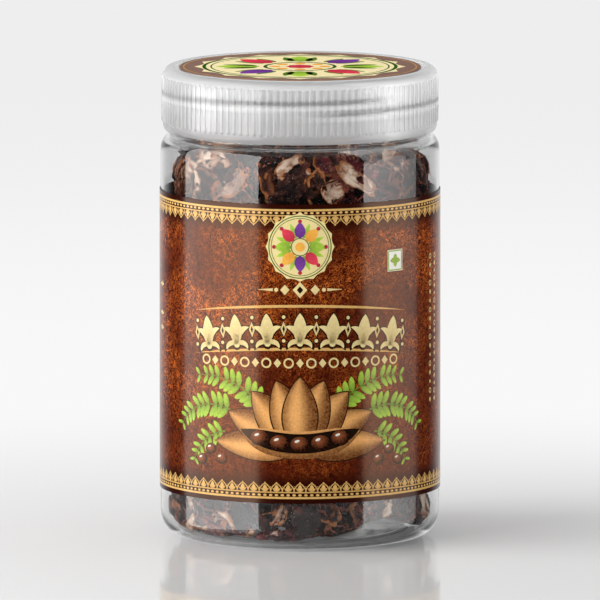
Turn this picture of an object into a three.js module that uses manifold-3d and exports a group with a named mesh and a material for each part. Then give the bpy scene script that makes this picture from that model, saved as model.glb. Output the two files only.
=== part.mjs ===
// A one-litre screw-top food jar, full of dried tamarind pulp.
//
// The jar is blown from clear plastic: a straight round wall on a rounded heel, a low domed base, a short
// shoulder and a threaded neck. A label is wrapped round the wall. The ribbed lid of milky plastic screws
// on to the neck over a foam liner, and carries a round sticker. Torn pieces of tamarind fill the inside.
//
// Millimetres, +Z up. The origin is the middle of the base, on the surface that the jar stands on, and
// -Y is the front. The lid is screwed down.
import * as THREE from "three";
import { mergeVertices } from "three/addons/utils/BufferGeometryUtils.js";
import Module from "manifold-3d";

const wasm = await Module();
wasm.setup();

// ---- Driving dimensions ----

const ROUND_STEPS = 48; // flat facets in every full turn

const BODY_RADIUS = 48; // outside of the straight wall
const WALL = 1; // thickness of the blown wall
const HEEL_TOP = 9; // where the heel ends and the straight wall starts
const FOOT_OUTER = 40.5; // the flat ring that the jar stands on
const FOOT_INNER = 37;
const DOME_RISE = 5.5; // how far the middle of the base is pushed up
const SHOULDER_FOOT = 133;
const SHOULDER_TOP = 139;
const SHOULDER_INNER = 44; // radius where the shoulder turns level

const NECK_RADIUS = 43.4;
const NECK_WALL = 2;
const RIM = 158.6; // height of the jar's sealing rim
const RIM_CHAMFER = 0.4;
const BEAD_RADIUS = 44.3; // the ring under the thread
const BEAD_BOTTOM = 139.7;
const BEAD_TOP = 141.1;

const PITCH = 4; // rise of the thread in one turn
const THREAD_TURNS = 1.125;
const THREAD_START = 148.4; // height of the jar's thread where it begins, at the front
const THREAD_CREST = 44.8; // radius of the jar's thread
const THREAD_ROOT_WIDTH = 1.7;
const THREAD_CREST_WIDTH = 0.7;
const THREAD_SINK = 0.4; // how deep a thread's root goes into its wall
const THREAD_RUN_OUT = 0.06; // the share of a thread's length over which each end fades
const THREAD_BELOW = 1.25; // how far under the jar's thread the lid's thread lies

const LID_TOP = 162;
const LID_BOTTOM = 140.1;
const LID_RADIUS = 47.2; // outside of the skirt, between the ribs
const LID_BORE = 45.4; // inside of the skirt
const LID_THREAD_CREST = 44;
const LID_CEILING = 160.4; // underside of the lid's top
const PANEL_RADIUS = 43; // the sunk panel that holds the sticker
const PANEL_DEPTH = 0.5;
const LINER_BEAD_RADIUS = 44.7; // the ring inside the lid that the liner snaps over
const LINER_BEAD_TOP = 158.5;

const RIB_COUNT = 120;
const RIB_BOTTOM = 143.2;
const RIB_TOP = 159.2;
const RIB_WIDTH = 1.5;
const RIB_PROUD = 0.5;
const RIB_SINK = 0.4;

const LINER_RADIUS = 45;
const LINER_BOTTOM = 158.9;
const LINER_TOP = 160.1;

const STICKER_RADIUS = 41.6;
const STICKER_THICKNESS = 0.2;

const LABEL_BOTTOM = 16.8;
const LABEL_TOP = 120;
const LABEL_THICKNESS = 0.2;
const LABEL_OVERLAP_STEPS = 2; // facets at the back where the label's two ends lie on each other

const SKIN_GAP = 0.15; // left between a label and what it is stuck to
const FILL_GAP = 0.5; // left between the tamarind and the jar

// ---- Shared tools ----

// A repeatable draw of numbers from 0 to 1.
function seededRandom(seed) {
  let state = seed;
  return () => {
    state = (state + 0x6d2b79f5) | 0;
    let t = Math.imul(state ^ (state >>> 15), 1 | state);
    t = (t + Math.imul(t ^ (t >>> 7), 61 | t)) ^ t;
    return ((t ^ (t >>> 14)) >>> 0) / 4294967296;
  };
}

function solidFrom(geometry) {
  const bare = geometry.clone();
  bare.deleteAttribute("normal");
  bare.deleteAttribute("uv");
  const merged = mergeVertices(bare, 1e-4);
  return new wasm.Manifold(
    new wasm.Mesh({
      numProp: 3,
      vertProperties: merged.attributes.position.array,
      triVerts: new Uint32Array(merged.index.array),
    }),
  );
}

function geometryFrom(solid) {
  const mesh = solid.getMesh();
  const geometry = new THREE.BufferGeometry();
  geometry.setAttribute("position", new THREE.BufferAttribute(mesh.vertProperties, 3));
  geometry.setIndex(new THREE.BufferAttribute(mesh.triVerts, 1));
  geometry.computeVertexNormals();
  return geometry;
}

// Points along part of an ellipse about (radius, height), from one angle to the other, in degrees.
function arc(radius, height, across, up, from, to, steps) {
  return Array.from({ length: steps + 1 }, (_, i) => {
    const angle = THREE.MathUtils.degToRad(from + ((to - from) * i) / steps);
    return new THREE.Vector2(radius + across * Math.cos(angle), height + up * Math.sin(angle));
  });
}

// Turns a profile of (radius, height) points about +Z. The profile runs up the outside.
function turned(profile, steps = ROUND_STEPS) {
  return new THREE.LatheGeometry(profile, steps).rotateX(Math.PI / 2);
}

function moved(geometry, change) {
  const position = geometry.attributes.position;
  const point = new THREE.Vector3();
  for (let i = 0; i < position.count; i++) {
    change(point.fromBufferAttribute(position, i));
    position.setXYZ(i, point.x, point.y, point.z);
  }
  return geometry;
}

// A screw thread: a bar of trapezoid section, bent round +Z and raised by PITCH a turn from the front.
// Its ends fade into the wall.
function thread(rootRadius, crestRadius, startHeight) {
  const steps = Math.round(THREAD_TURNS * ROUND_STEPS);
  const bar = new THREE.BoxGeometry(1, 1, 1, steps, 1, 1);
  return moved(bar, (point) => {
    const along = point.x + 0.5;
    const fade = Math.min(1, Math.min(along, 1 - along) / THREAD_RUN_OUT);
    const onCrest = point.y < 0;
    const crest = THREE.MathUtils.lerp(rootRadius, crestRadius, 0.3 + 0.7 * fade);
    const radius = onCrest ? crest : rootRadius;
    const width = onCrest ? THREAD_CREST_WIDTH : THREAD_ROOT_WIDTH;
    const outward = Math.sign(crestRadius - rootRadius);
    const angle = 2 * Math.PI * THREAD_TURNS * along - Math.PI / 2;
    const height = startHeight + PITCH * THREAD_TURNS * along + outward * point.z * width;
    point.set(radius * Math.cos(angle), radius * Math.sin(angle), height);
  });
}

// ---- The jar ----

// The hollow's outline from the middle of the base up to the rim, drawn in by the gap given.
function hollowProfile(gap, top) {
  const wallRadius = BODY_RADIUS - WALL - gap;
  const neckRadius = NECK_RADIUS - NECK_WALL - gap;
  const floor = WALL + gap;
  return [
    new THREE.Vector2(0, DOME_RISE + floor),
    ...arc(0, floor, FOOT_INNER, DOME_RISE, 60, 30, 1),
    new THREE.Vector2(FOOT_INNER, floor),
    ...arc(FOOT_OUTER - 1, HEEL_TOP, wallRadius - FOOT_OUTER + 1, HEEL_TOP - floor, -90, 0, 3),
    ...arc(neckRadius, SHOULDER_FOOT, wallRadius - neckRadius, SHOULDER_TOP - SHOULDER_FOOT - floor, 0, 90, 3),
    new THREE.Vector2(neckRadius, top),
  ];
}

function makeJar() {
  const outside = [
    new THREE.Vector2(0, DOME_RISE),
    ...arc(0, 0, FOOT_INNER, DOME_RISE, 60, 30, 1),
    new THREE.Vector2(FOOT_INNER, 0),
    new THREE.Vector2(FOOT_OUTER, 0),
    ...arc(FOOT_OUTER, HEEL_TOP, BODY_RADIUS - FOOT_OUTER, HEEL_TOP, -68, 0, 4),
    ...arc(SHOULDER_INNER, SHOULDER_FOOT, BODY_RADIUS - SHOULDER_INNER, SHOULDER_TOP - SHOULDER_FOOT, 0, 90, 4),
    new THREE.Vector2(NECK_RADIUS, SHOULDER_TOP + 0.2),
    new THREE.Vector2(NECK_RADIUS, BEAD_BOTTOM - 0.3),
    new THREE.Vector2(BEAD_RADIUS, BEAD_BOTTOM),
    new THREE.Vector2(BEAD_RADIUS, BEAD_TOP),
    new THREE.Vector2(NECK_RADIUS, BEAD_TOP + 0.6),
    new THREE.Vector2(NECK_RADIUS, RIM - RIM_CHAMFER),
    new THREE.Vector2(NECK_RADIUS - RIM_CHAMFER, RIM),
  ];
  const inside = hollowProfile(0, RIM).reverse();
  const shell = solidFrom(turned([...outside, ...inside]));
  return geometryFrom(shell.add(solidFrom(thread(NECK_RADIUS - THREAD_SINK, THREAD_CREST, THREAD_START))));
}

// ---- The label and the sticker ----

// A ring cut from film, as tall as the label. Its ends overlap at the back, where it is twice as thick.
function makeLabel() {
  const inner = BODY_RADIUS + SKIN_GAP;
  const outline = (radiusAt) =>
    Array.from({ length: ROUND_STEPS }, (_, i) => {
      const angle = (2 * Math.PI * i) / ROUND_STEPS;
      return new THREE.Vector2(radiusAt(i) * Math.cos(angle), radiusAt(i) * Math.sin(angle));
    });
  const back = ROUND_STEPS / 4;
  const overlapped = (i) => Math.abs(i - back) < LABEL_OVERLAP_STEPS;
  const film = new THREE.Shape(outline((i) => inner + LABEL_THICKNESS * (overlapped(i) ? 2 : 1)));
  film.holes.push(new THREE.Path(outline(() => inner)));
  return new THREE.ExtrudeGeometry(film, { depth: LABEL_TOP - LABEL_BOTTOM, bevelEnabled: false });
}

function makeSticker() {
  return turned([
    new THREE.Vector2(0, 0),
    new THREE.Vector2(STICKER_RADIUS, 0),
    new THREE.Vector2(STICKER_RADIUS, STICKER_THICKNESS),
    new THREE.Vector2(0, STICKER_THICKNESS),
  ]);
}

// ---- The lid and its liner ----

function makeLid() {
  const edge = LID_TOP - RIB_TOP; // radius of the rounded edge round the top
  const hem = RIB_BOTTOM - LID_BOTTOM; // height of the curved hem under the ribs
  const hemIn = LID_RADIUS - LID_BORE - 0.5;
  const outside = [
    ...arc(LID_RADIUS - hemIn, RIB_BOTTOM, hemIn, hem, -90, 0, 4),
    ...arc(LID_RADIUS - edge, RIB_TOP, edge, edge, 0, 90, 5),
    new THREE.Vector2(PANEL_RADIUS + 0.3, LID_TOP),
    new THREE.Vector2(PANEL_RADIUS, LID_TOP - PANEL_DEPTH),
    new THREE.Vector2(0, LID_TOP - PANEL_DEPTH),
  ];
  const inside = [
    new THREE.Vector2(0, LID_CEILING),
    new THREE.Vector2(LID_BORE, LID_CEILING),
    new THREE.Vector2(LID_BORE, LINER_BEAD_TOP),
    new THREE.Vector2(LINER_BEAD_RADIUS, LINER_BEAD_TOP - 0.3),
    new THREE.Vector2(LID_BORE, LINER_BEAD_TOP - 1.2),
    new THREE.Vector2(LID_BORE, LID_BOTTOM),
  ];
  const shell = solidFrom(turned([...inside, ...outside]));
  const rib = new THREE.BoxGeometry(RIB_PROUD + RIB_SINK, RIB_WIDTH, RIB_TOP - RIB_BOTTOM)
    .translate(LID_RADIUS + (RIB_PROUD - RIB_SINK) / 2, 0, (RIB_TOP + RIB_BOTTOM) / 2);
  const ribs = Array.from({ length: RIB_COUNT }, (_, i) =>
    solidFrom(rib.clone().rotateZ((2 * Math.PI * (i + 0.5)) / RIB_COUNT)),
  );
  const groove = solidFrom(thread(LID_BORE + THREAD_SINK, LID_THREAD_CREST, THREAD_START - THREAD_BELOW));
  return geometryFrom(wasm.Manifold.union([shell, ...ribs, groove]));
}

function makeLiner() {
  return turned([
    new THREE.Vector2(0, LINER_BOTTOM),
    new THREE.Vector2(LINER_RADIUS, LINER_BOTTOM),
    new THREE.Vector2(LINER_RADIUS, LINER_TOP),
    new THREE.Vector2(0, LINER_TOP),
  ]);
}

// ---- The tamarind ----

const FILL_TOP = 150; // highest that a piece reaches
const CORE_RADIUS = 38; // the packed middle, which the outer pieces stand out of
const CORE_BOTTOM = 9;
const CORE_TOP = 142;
const PIECE_SPACING = 20;
const PIECE_SIZE = [8, 12.5]; // half length of a piece, least and most
const LOOSE_TURN = 0.35; // how far a piece may stray from its place, as a share of the spacing

// One torn lump: an icosahedron with its corners pushed in and out, stretched, flattened and turned.
function tornPiece(random, centre) {
  const lump = mergeVertices(new THREE.IcosahedronGeometry(1, 0).deleteAttribute("normal").deleteAttribute("uv"));
  const half = THREE.MathUtils.lerp(PIECE_SIZE[0], PIECE_SIZE[1], random());
  const flatness = THREE.MathUtils.lerp(0.55, 0.95, random());
  const stretch = THREE.MathUtils.lerp(0.8, 1.35, random());
  const turn = new THREE.Euler(random() * Math.PI, random() * Math.PI, random() * Math.PI);
  return moved(lump, (point) => {
    point.multiplyScalar(half * THREE.MathUtils.lerp(0.72, 1.25, random()));
    point.set(point.x * stretch, point.y, point.z * flatness);
    point.applyEuler(turn).add(centre);
  });
}

// Where the outer pieces sit: rings up the wall, each turned half a step from the last.
function piecePlaces(random) {
  const places = [];
  const ringRadius = (height) => {
    const low = THREE.MathUtils.smoothstep(height, 2, 14);
    const high = THREE.MathUtils.smoothstep(height, 118, 144);
    return THREE.MathUtils.lerp(33, 41, low) - 8 * high;
  };
  const rows = Math.round((CORE_TOP - CORE_BOTTOM) / PIECE_SPACING) + 1;
  for (let row = 0; row < rows; row++) {
    const height = THREE.MathUtils.lerp(CORE_BOTTOM, CORE_TOP, row / (rows - 1));
    const radius = ringRadius(height);
    const count = Math.round((2 * Math.PI * radius) / PIECE_SPACING);
    for (let i = 0; i < count; i++) {
      const stray = LOOSE_TURN * (random() - 0.5);
      const angle = (2 * Math.PI * (i + (row % 2) / 2 + stray)) / count;
      const lift = LOOSE_TURN * PIECE_SPACING * (random() - 0.5);
      places.push(new THREE.Vector3(radius * Math.cos(angle), radius * Math.sin(angle), height + lift));
    }
  }
  for (const [height, radius, count] of [[CORE_TOP, 22, 8], [CORE_TOP + 1, 8, 3], [CORE_BOTTOM + 1, 20, 6]]) {
    for (let i = 0; i < count; i++) {
      const angle = (2 * Math.PI * (i + random() / 2)) / count;
      places.push(new THREE.Vector3(radius * Math.cos(angle), radius * Math.sin(angle), height));
    }
  }
  return places;
}

function makeTamarind() {
  const random = seededRandom(11);
  const core = solidFrom(
    turned([
      new THREE.Vector2(0, CORE_BOTTOM),
      new THREE.Vector2(CORE_RADIUS - 9, CORE_BOTTOM),
      new THREE.Vector2(CORE_RADIUS, CORE_BOTTOM + 9),
      new THREE.Vector2(CORE_RADIUS, CORE_TOP - 12),
      new THREE.Vector2(CORE_RADIUS - 10, CORE_TOP),
      new THREE.Vector2(0, CORE_TOP),
    ], 24),
  );
  const pieces = piecePlaces(random).map((place) => solidFrom(tornPiece(random, place)));
  const room = solidFrom(
    turned([...hollowProfile(FILL_GAP, FILL_TOP), new THREE.Vector2(0, FILL_TOP)], ROUND_STEPS / 2),
  );
  const bodies = wasm.Manifold.union([core, ...pieces]).intersect(room).decompose();
  const whole = bodies.reduce((largest, body) => (body.volume() > largest.volume() ? body : largest));
  return geometryFrom(whole);
}

// ---- The whole jar ----

function plastic(color, roughness, opacity = 1) {
  return new THREE.MeshStandardMaterial({ color, roughness, metalness: 0, transparent: opacity < 1, opacity });
}

const parts = [
  { name: "jar", geometry: makeJar(), material: plastic(0xf2f5f4, 0.05, 0.25) },
  { name: "label", geometry: makeLabel(), material: plastic(0x59200f, 0.3), height: LABEL_BOTTOM },
  { name: "tamarind", geometry: makeTamarind(), material: plastic(0x2a1712, 0.35) },
  { name: "liner", geometry: makeLiner(), material: plastic(0xf4f4f0, 0.7) },
  { name: "lid", geometry: makeLid(), material: plastic(0xe4e6e6, 0.3, 0.75) },
  {
    name: "lid_sticker",
    geometry: makeSticker(),
    material: plastic(0x6b4433, 0.4),
    height: LID_TOP - PANEL_DEPTH + SKIN_GAP,
  },
];

const jarOfTamarind = new THREE.Group();
for (const { name, geometry, material, height = 0 } of parts) {
  const mesh = new THREE.Mesh(geometry, material);
  mesh.name = name;
  mesh.position.z = height;
  jarOfTamarind.add(mesh);
}

export default jarOfTamarind;
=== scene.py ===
import math

import bmesh
import bpy
import numpy as np
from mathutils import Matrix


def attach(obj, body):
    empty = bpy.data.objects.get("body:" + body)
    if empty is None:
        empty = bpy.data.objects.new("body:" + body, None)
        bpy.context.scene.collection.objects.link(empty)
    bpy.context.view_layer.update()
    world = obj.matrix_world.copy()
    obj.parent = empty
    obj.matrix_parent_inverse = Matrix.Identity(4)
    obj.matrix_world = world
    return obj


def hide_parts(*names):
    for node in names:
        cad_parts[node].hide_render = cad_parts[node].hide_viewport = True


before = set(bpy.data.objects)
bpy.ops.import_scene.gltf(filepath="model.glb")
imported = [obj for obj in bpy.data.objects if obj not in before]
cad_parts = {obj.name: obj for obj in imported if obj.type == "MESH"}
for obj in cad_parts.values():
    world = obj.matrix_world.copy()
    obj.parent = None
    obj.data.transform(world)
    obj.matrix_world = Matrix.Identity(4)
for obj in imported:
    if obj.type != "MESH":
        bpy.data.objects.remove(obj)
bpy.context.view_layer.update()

# ---- Camera ----
# A long lens, a little above the middle of the jar, so that upright edges stay upright. The jar's
# lengths are in millimetres, and MM brings them to Blender's metres; lamps and floor are in metres.
# The front of the jar is at -Y.
MM = 0.001
SENSOR_WIDTH = 36
VIEW_WIDTH = 206.5
VIEW_CENTRE = 80.9
VIEW_DISTANCE = 8000
VIEW_ELEVATION = math.radians(7.4)

scene = bpy.context.scene
camera = bpy.data.objects.new("camera", bpy.data.cameras.new("camera"))
scene.collection.objects.link(camera)
scene.camera = camera
camera.data.sensor_width = SENSOR_WIDTH
camera.data.lens = SENSOR_WIDTH * VIEW_DISTANCE / VIEW_WIDTH
camera.data.clip_end = 40
camera.location = (
    0,
    -VIEW_DISTANCE * MM * math.cos(VIEW_ELEVATION),
    (VIEW_CENTRE + VIEW_DISTANCE * math.sin(VIEW_ELEVATION)) * MM,
)
camera.rotation_euler = (math.pi / 2 - VIEW_ELEVATION, 0, 0)
scene.view_settings.view_transform = "Standard"
scene.cycles.max_bounces = 32
scene.cycles.glossy_bounces = 24
scene.cycles.transmission_bounces = 16
scene.cycles.transparent_max_bounces = 24
scene.cycles.caustics_reflective = False
scene.cycles.caustics_refractive = False
scene.cycles.sample_clamp_indirect = 4

# ---- Lights ----
# Tall soft boxes stand left and right of the jar, in a room that is dark behind the camera. The right
# box lights the jar's pieces alone, and both sides have a lamp for the lid alone, so that the floor
# gets no second shadow. One more lamp a side only shows as a reflection. Heights are in metres.
BOX_DISTANCE = 1.0
BOX_LOW = 0.08
BOX_HIGH = 0.95
LEFT_BOX = (34, 108)
LEFT_BOX_FRONT = (34, 72)
LEFT_BOX_SIDE = (60, 108)
RIGHT_BOX = (53, 110)
SHINE_LOW = -0.5
SHINE_FADE = (-0.13, 0.02)
SHINE_FOOT = 0.65
SHINE_EVEN = 0.2
HIGH_LAMP_PLACE = (-0.8, -0.1, 0.95)
HIGH_LAMP_TILT = math.radians(40)
HIGH_LAMP_TURN = math.radians(7)
BACKGROUND = (0.87, 0.87, 0.865)
ROOM_LIGHT = 0.44
DARK_ROOM = 0.03
BRIGHT_ROOM = 0.95
BRIGHT_FROM = 0.65


def box_lamp(name, side, angles, radiance, low, high):
    """A rectangular lamp of even radiance facing the jar, unseen itself. Its sides lie at the two
    angles, in degrees from the camera's own direction, to the left where side is -1, else right."""
    middle = math.radians(sum(angles) / 2)
    half = math.radians((angles[1] - angles[0]) / 2)
    width = 2 * BOX_DISTANCE * math.tan(half)
    lamp = bpy.data.lights.new(name, "AREA")
    lamp.shape = "RECTANGLE"
    lamp.size = width
    lamp.size_y = high - low
    lamp.energy = radiance * math.pi * width * (high - low)
    obj = bpy.data.objects.new(name, lamp)
    scene.collection.objects.link(obj)
    obj.location = (
        side * BOX_DISTANCE * math.sin(middle),
        -BOX_DISTANCE * math.cos(middle),
        (low + high) / 2,
    )
    obj.rotation_euler = (math.pi / 2, 0, side * middle)
    obj.visible_camera = False
    obj.visible_transmission = False
    return obj


def only_shines(obj, front_share):
    """Lets a lamp show only as a reflection. Its strength is 1 from its back side over SHINE_EVEN of its
    width and then goes evenly to the front share. Times that, it is 1 above the two heights of
    SHINE_FADE, goes evenly to SHINE_FOOT between them and stays there down to its foot."""
    obj.visible_diffuse = False
    lamp = obj.data
    lamp.use_nodes = True
    nodes, links = lamp.node_tree.nodes, lamp.node_tree.links
    place = nodes.new("ShaderNodeNewGeometry")
    split = nodes.new("ShaderNodeSeparateXYZ")
    links.new(place.outputs["Parametric"], split.inputs[0])
    fall = nodes.new("ShaderNodeMapRange")
    fall.inputs["From Min"].default_value = SHINE_EVEN
    fall.inputs["From Max"].default_value = 1.0
    fall.inputs["To Min"].default_value = 1.0
    fall.inputs["To Max"].default_value = front_share
    links.new(split.outputs["X"], fall.inputs["Value"])
    foot = nodes.new("ShaderNodeMapRange")
    foot.inputs["From Min"].default_value = (SHINE_FADE[0] - SHINE_LOW) / lamp.size_y
    foot.inputs["From Max"].default_value = (SHINE_FADE[1] - SHINE_LOW) / lamp.size_y
    foot.inputs["To Min"].default_value = SHINE_FOOT
    foot.inputs["To Max"].default_value = 1.0
    links.new(split.outputs["Y"], foot.inputs["Value"])
    strength = nodes.new("ShaderNodeMath")
    strength.operation = "MULTIPLY"
    links.new(fall.outputs["Result"], strength.inputs[0])
    links.new(foot.outputs["Result"], strength.inputs[1])
    links.new(strength.outputs[0], nodes["Emission"].inputs["Strength"])


pieces_only = bpy.data.collections.new("pieces_only")
lid_only = bpy.data.collections.new("lid_only")
for name, side, angles, radiance, receivers in (
    ("left_box_light", -1, LEFT_BOX_FRONT, 4.8, None),
    ("left_side_light", -1, LEFT_BOX_SIDE, 1.2, None),
    ("left_lid_light", -1, LEFT_BOX, 1.3, lid_only),
    ("right_box_light", 1, RIGHT_BOX, 2.6, pieces_only),
    ("right_lid_light", 1, RIGHT_BOX, 3.4, lid_only),
):
    light = box_lamp(name, side, angles, radiance, BOX_LOW, BOX_HIGH)
    light.visible_glossy = False
    light.light_linking.receiver_collection = receivers
for name, side, angles, radiance, high, front_share in (
    ("left_box_shine", -1, LEFT_BOX, 4.2, 1.0, 1.5),
    ("right_box_shine", 1, RIGHT_BOX, 4.6, 2.4, 0.3),
):
    only_shines(box_lamp(name, side, angles, radiance, SHINE_LOW, high), front_share)

# a small lamp high on the left casts the jar's soft shadow
high_lamp = bpy.data.lights.new("high_light", "AREA")
high_lamp.size = 0.45
high_lamp.energy = 4.5
high_light = bpy.data.objects.new("high_light", high_lamp)
scene.collection.objects.link(high_light)
high_light.location = HIGH_LAMP_PLACE
high_light.rotation_euler = (0, -HIGH_LAMP_TILT, HIGH_LAMP_TURN)
high_light.visible_camera = False
high_light.visible_glossy = False
high_light.visible_transmission = False


def mix_shaders(nodes, links, share, first, second):
    """The first shader with a share of the second in its place. The share is a socket or a number."""
    node = nodes.new("ShaderNodeMixShader")
    if isinstance(share, bpy.types.NodeSocket):
        links.new(share, node.inputs["Fac"])
    else:
        node.inputs["Fac"].default_value = share
    links.new(first, node.inputs[1])
    links.new(second, node.inputs[2])
    return node.outputs[0]


def light_room():
    """The room: an even pale background, a soft light from all round, and for reflections a strength
    that follows how far a direction points backwards: DARK_ROOM up to BRIGHT_FROM, and from there
    smoothly up to BRIGHT_ROOM straight behind the jar."""
    world = bpy.data.worlds.new("room")
    scene.world = world
    world.use_nodes = True
    nodes, links = world.node_tree.nodes, world.node_tree.links
    nodes.clear()
    path = nodes.new("ShaderNodeLightPath")
    place = nodes.new("ShaderNodeTexCoord")
    split = nodes.new("ShaderNodeSeparateXYZ")
    links.new(place.outputs["Generated"], split.inputs[0])
    behind = nodes.new("ShaderNodeMapRange")
    behind.interpolation_type = "SMOOTHSTEP"
    behind.inputs["From Min"].default_value = BRIGHT_FROM
    behind.inputs["From Max"].default_value = 1.0
    behind.inputs["To Min"].default_value = DARK_ROOM
    behind.inputs["To Max"].default_value = BRIGHT_ROOM
    links.new(split.outputs["Y"], behind.inputs["Value"])
    shine = nodes.new("ShaderNodeBackground")
    links.new(behind.outputs["Result"], shine.inputs["Strength"])
    seen = nodes.new("ShaderNodeBackground")
    seen.inputs["Color"].default_value = (*BACKGROUND, 1)
    soft = nodes.new("ShaderNodeBackground")
    soft.inputs["Strength"].default_value = ROOM_LIGHT
    glossy, diffuse = path.outputs["Is Glossy Ray"], path.outputs["Is Diffuse Ray"]
    shown = mix_shaders(nodes, links, glossy, seen.outputs[0], shine.outputs[0])
    room = mix_shaders(nodes, links, diffuse, shown, soft.outputs[0])
    out = nodes.new("ShaderNodeOutputWorld")
    links.new(room, out.inputs["Surface"])


light_room()

# ---- Floor ----
# A large pale sheet with a slight polish, which mirrors the foot of the jar. Away from a point a little
# in front of the jar it turns into an even glow, and far off into the colour of the room, so that it
# has no edge. The distances are in metres.
FLOOR_HALF = 3.0
FLOOR_NEAR_HALF = 0.22
FLOOR_MIRROR = 0.45
GLOW_MIDDLE = 0.1
GLOW_REACH = (0.07, 0.44)
FAR_REACH = (0.5, 1.4)
GLOW = 0.94
FAR_GLOW = 0.855


def surface_material(name):
    """A new material with a Principled shader: the material, its nodes, its links and the shader."""
    material = bpy.data.materials.new(name)
    material.use_nodes = True
    nodes, links = material.node_tree.nodes, material.node_tree.links
    return material, nodes, links, nodes["Principled BSDF"]


def map_range(nodes, links, source, low, high, to_low=0.0, to_high=1.0):
    """A value that goes from to_low to to_high, in a smooth step, as the source goes from low to
    high, and stays level before and after."""
    node = nodes.new("ShaderNodeMapRange")
    node.interpolation_type = "SMOOTHSTEP"
    links.new(source, node.inputs["Value"])
    for socket, value in (("From Min", low), ("From Max", high), ("To Min", to_low), ("To Max", to_high)):
        node.inputs[socket].default_value = value
    return node.outputs["Result"]


def floor_material():
    """Matt paper with a share FLOOR_MIRROR of polish. Over GLOW_REACH of distance from the glow's middle
    it turns into light of strength GLOW, which goes to FAR_GLOW over FAR_REACH."""
    material, nodes, links, paint = surface_material("pale_sheet")
    paint.inputs["Base Color"].default_value = (0.95, 0.95, 0.95, 1)
    paint.inputs["Roughness"].default_value = 0.9
    paint.inputs["Specular IOR Level"].default_value = 0
    polish = nodes.new("ShaderNodeBsdfGlossy")
    polish.inputs["Roughness"].default_value = 0.05
    near = mix_shaders(nodes, links, FLOOR_MIRROR, paint.outputs[0], polish.outputs[0])
    place = nodes.new("ShaderNodeTexCoord")
    from_middle = nodes.new("ShaderNodeVectorMath")
    from_middle.inputs[1].default_value = (0, GLOW_MIDDLE, 0)
    links.new(place.outputs["Object"], from_middle.inputs[0])
    reach = nodes.new("ShaderNodeVectorMath")
    reach.operation = "LENGTH"
    links.new(from_middle.outputs["Vector"], reach.inputs[0])
    away = map_range(nodes, links, reach.outputs["Value"], *GLOW_REACH)
    glow = nodes.new("ShaderNodeEmission")
    far = map_range(nodes, links, reach.outputs["Value"], *FAR_REACH, GLOW, FAR_GLOW)
    links.new(far, glow.inputs["Strength"])
    sheet = mix_shaders(nodes, links, away, near, glow.outputs[0])
    links.new(sheet, nodes["Material Output"].inputs["Surface"])
    return material


def floor_sheet(name, inside, outside, material):
    """A square of floor from minus outside to plus outside, with a square hole of half width inside
    unless that is 0."""
    corners = np.array([(-1, -1, 0), (1, -1, 0), (1, 1, 0), (-1, 1, 0)], float)
    mesh = bpy.data.meshes.new(name)
    if inside:
        sides = [(k, (k + 1) % 4, (k + 1) % 4 + 4, k + 4) for k in range(4)]
        mesh.from_pydata(np.concatenate([corners * outside, corners * inside]).tolist(), [], sides)
    else:
        mesh.from_pydata((corners * outside).tolist(), [], [(0, 1, 2, 3)])
    mesh.materials.append(material)
    sheet = bpy.data.objects.new(name, mesh)
    scene.collection.objects.link(sheet)
    sheet.visible_glossy = False
    return sheet


pale_sheet = floor_material()
floor_sheet("floor_near", 0, FLOOR_NEAR_HALF, pale_sheet)
floor_sheet("floor_far", FLOOR_NEAR_HALF, FLOOR_HALF, pale_sheet).visible_transmission = False

# ---- Jar ----
# Blown clear plastic, one piece: a domed base with the mould's gate mark, a flat ring to stand on, a
# rounded heel, a straight wall, a short shoulder, a ring under the lid and a threaded neck.
JAR_STEPS = 320
WALL = 1.0
BODY_RADIUS = 48.0
FOOT_OUTER = 40.5
FOOT_INNER = 37.0
DOME_RISE = 5.5
HEEL_TOP = 9.0
SHOULDER_FOOT = 133.0
SHOULDER_TOP = 139.0
SHOULDER_INNER = 44.0
NECK_RADIUS = 43.4
NECK_INSIDE = 41.4
RIM = 158.6
GATE_RADIUS = 2.6
GATE_DEPTH = 0.7
NECK_FOOT = 139.5
RING_HEIGHT = 140.8
THREADED = (141.5, 158.0)
PITCH = 4.0
THREAD_TURNS = 1.125
THREAD_START = 148.4
THREAD_PROUD = 1.4
THREAD_HALF_WIDTH = 0.75
THREAD_FADE = 0.05


def line(start, end, count):
    """Evenly spaced (radius, height) points from start to end, both included."""
    return np.linspace(start, end, count)


def arc(centre, reach, start, end, count):
    """Points along an ellipse about centre, with reach = (across, up), between two angles in degrees."""
    angle = np.radians(np.linspace(start, end, count))
    return np.stack([centre[0] + reach[0] * np.cos(angle), centre[1] + reach[1] * np.sin(angle)], 1)


def chain(*stretches):
    """Joins stretches of points into one profile and drops points that repeat the one before."""
    points = np.concatenate([np.atleast_2d(s) for s in stretches]).astype(float)
    step = np.linalg.norm(np.diff(points, axis=0), axis=1)
    return points[np.concatenate([[True], step > 1e-4])]


def helix_ridge(angle, height, start, half_width):
    """How high a thread stands, 0 to 1, at each angle and height. The thread starts at the front, at the
    start height, climbs PITCH a turn and fades out over THREAD_FADE of a turn at both ends. Its
    section is a parabola over its half width, made 1.6 times as high and cut flat at 1."""
    turns = (angle + math.pi / 2) / (2 * math.pi) % 1.0
    ridge = np.zeros(np.broadcast(angle, height).shape)
    for lap in range(math.ceil(THREAD_TURNS)):
        along = turns + lap
        fade = np.clip(np.minimum(along, THREAD_TURNS - along) / THREAD_FADE, 0, 1)
        off = np.abs(height - start - PITCH * along) / half_width
        ridge = np.maximum(ridge, fade * np.clip(1.6 * (1 - off**2), 0, 1))
    return ridge


def even_turn(steps):
    """The angles of even steps round a full turn."""
    return np.linspace(0, 2 * math.pi, steps, endpoint=False)


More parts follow.
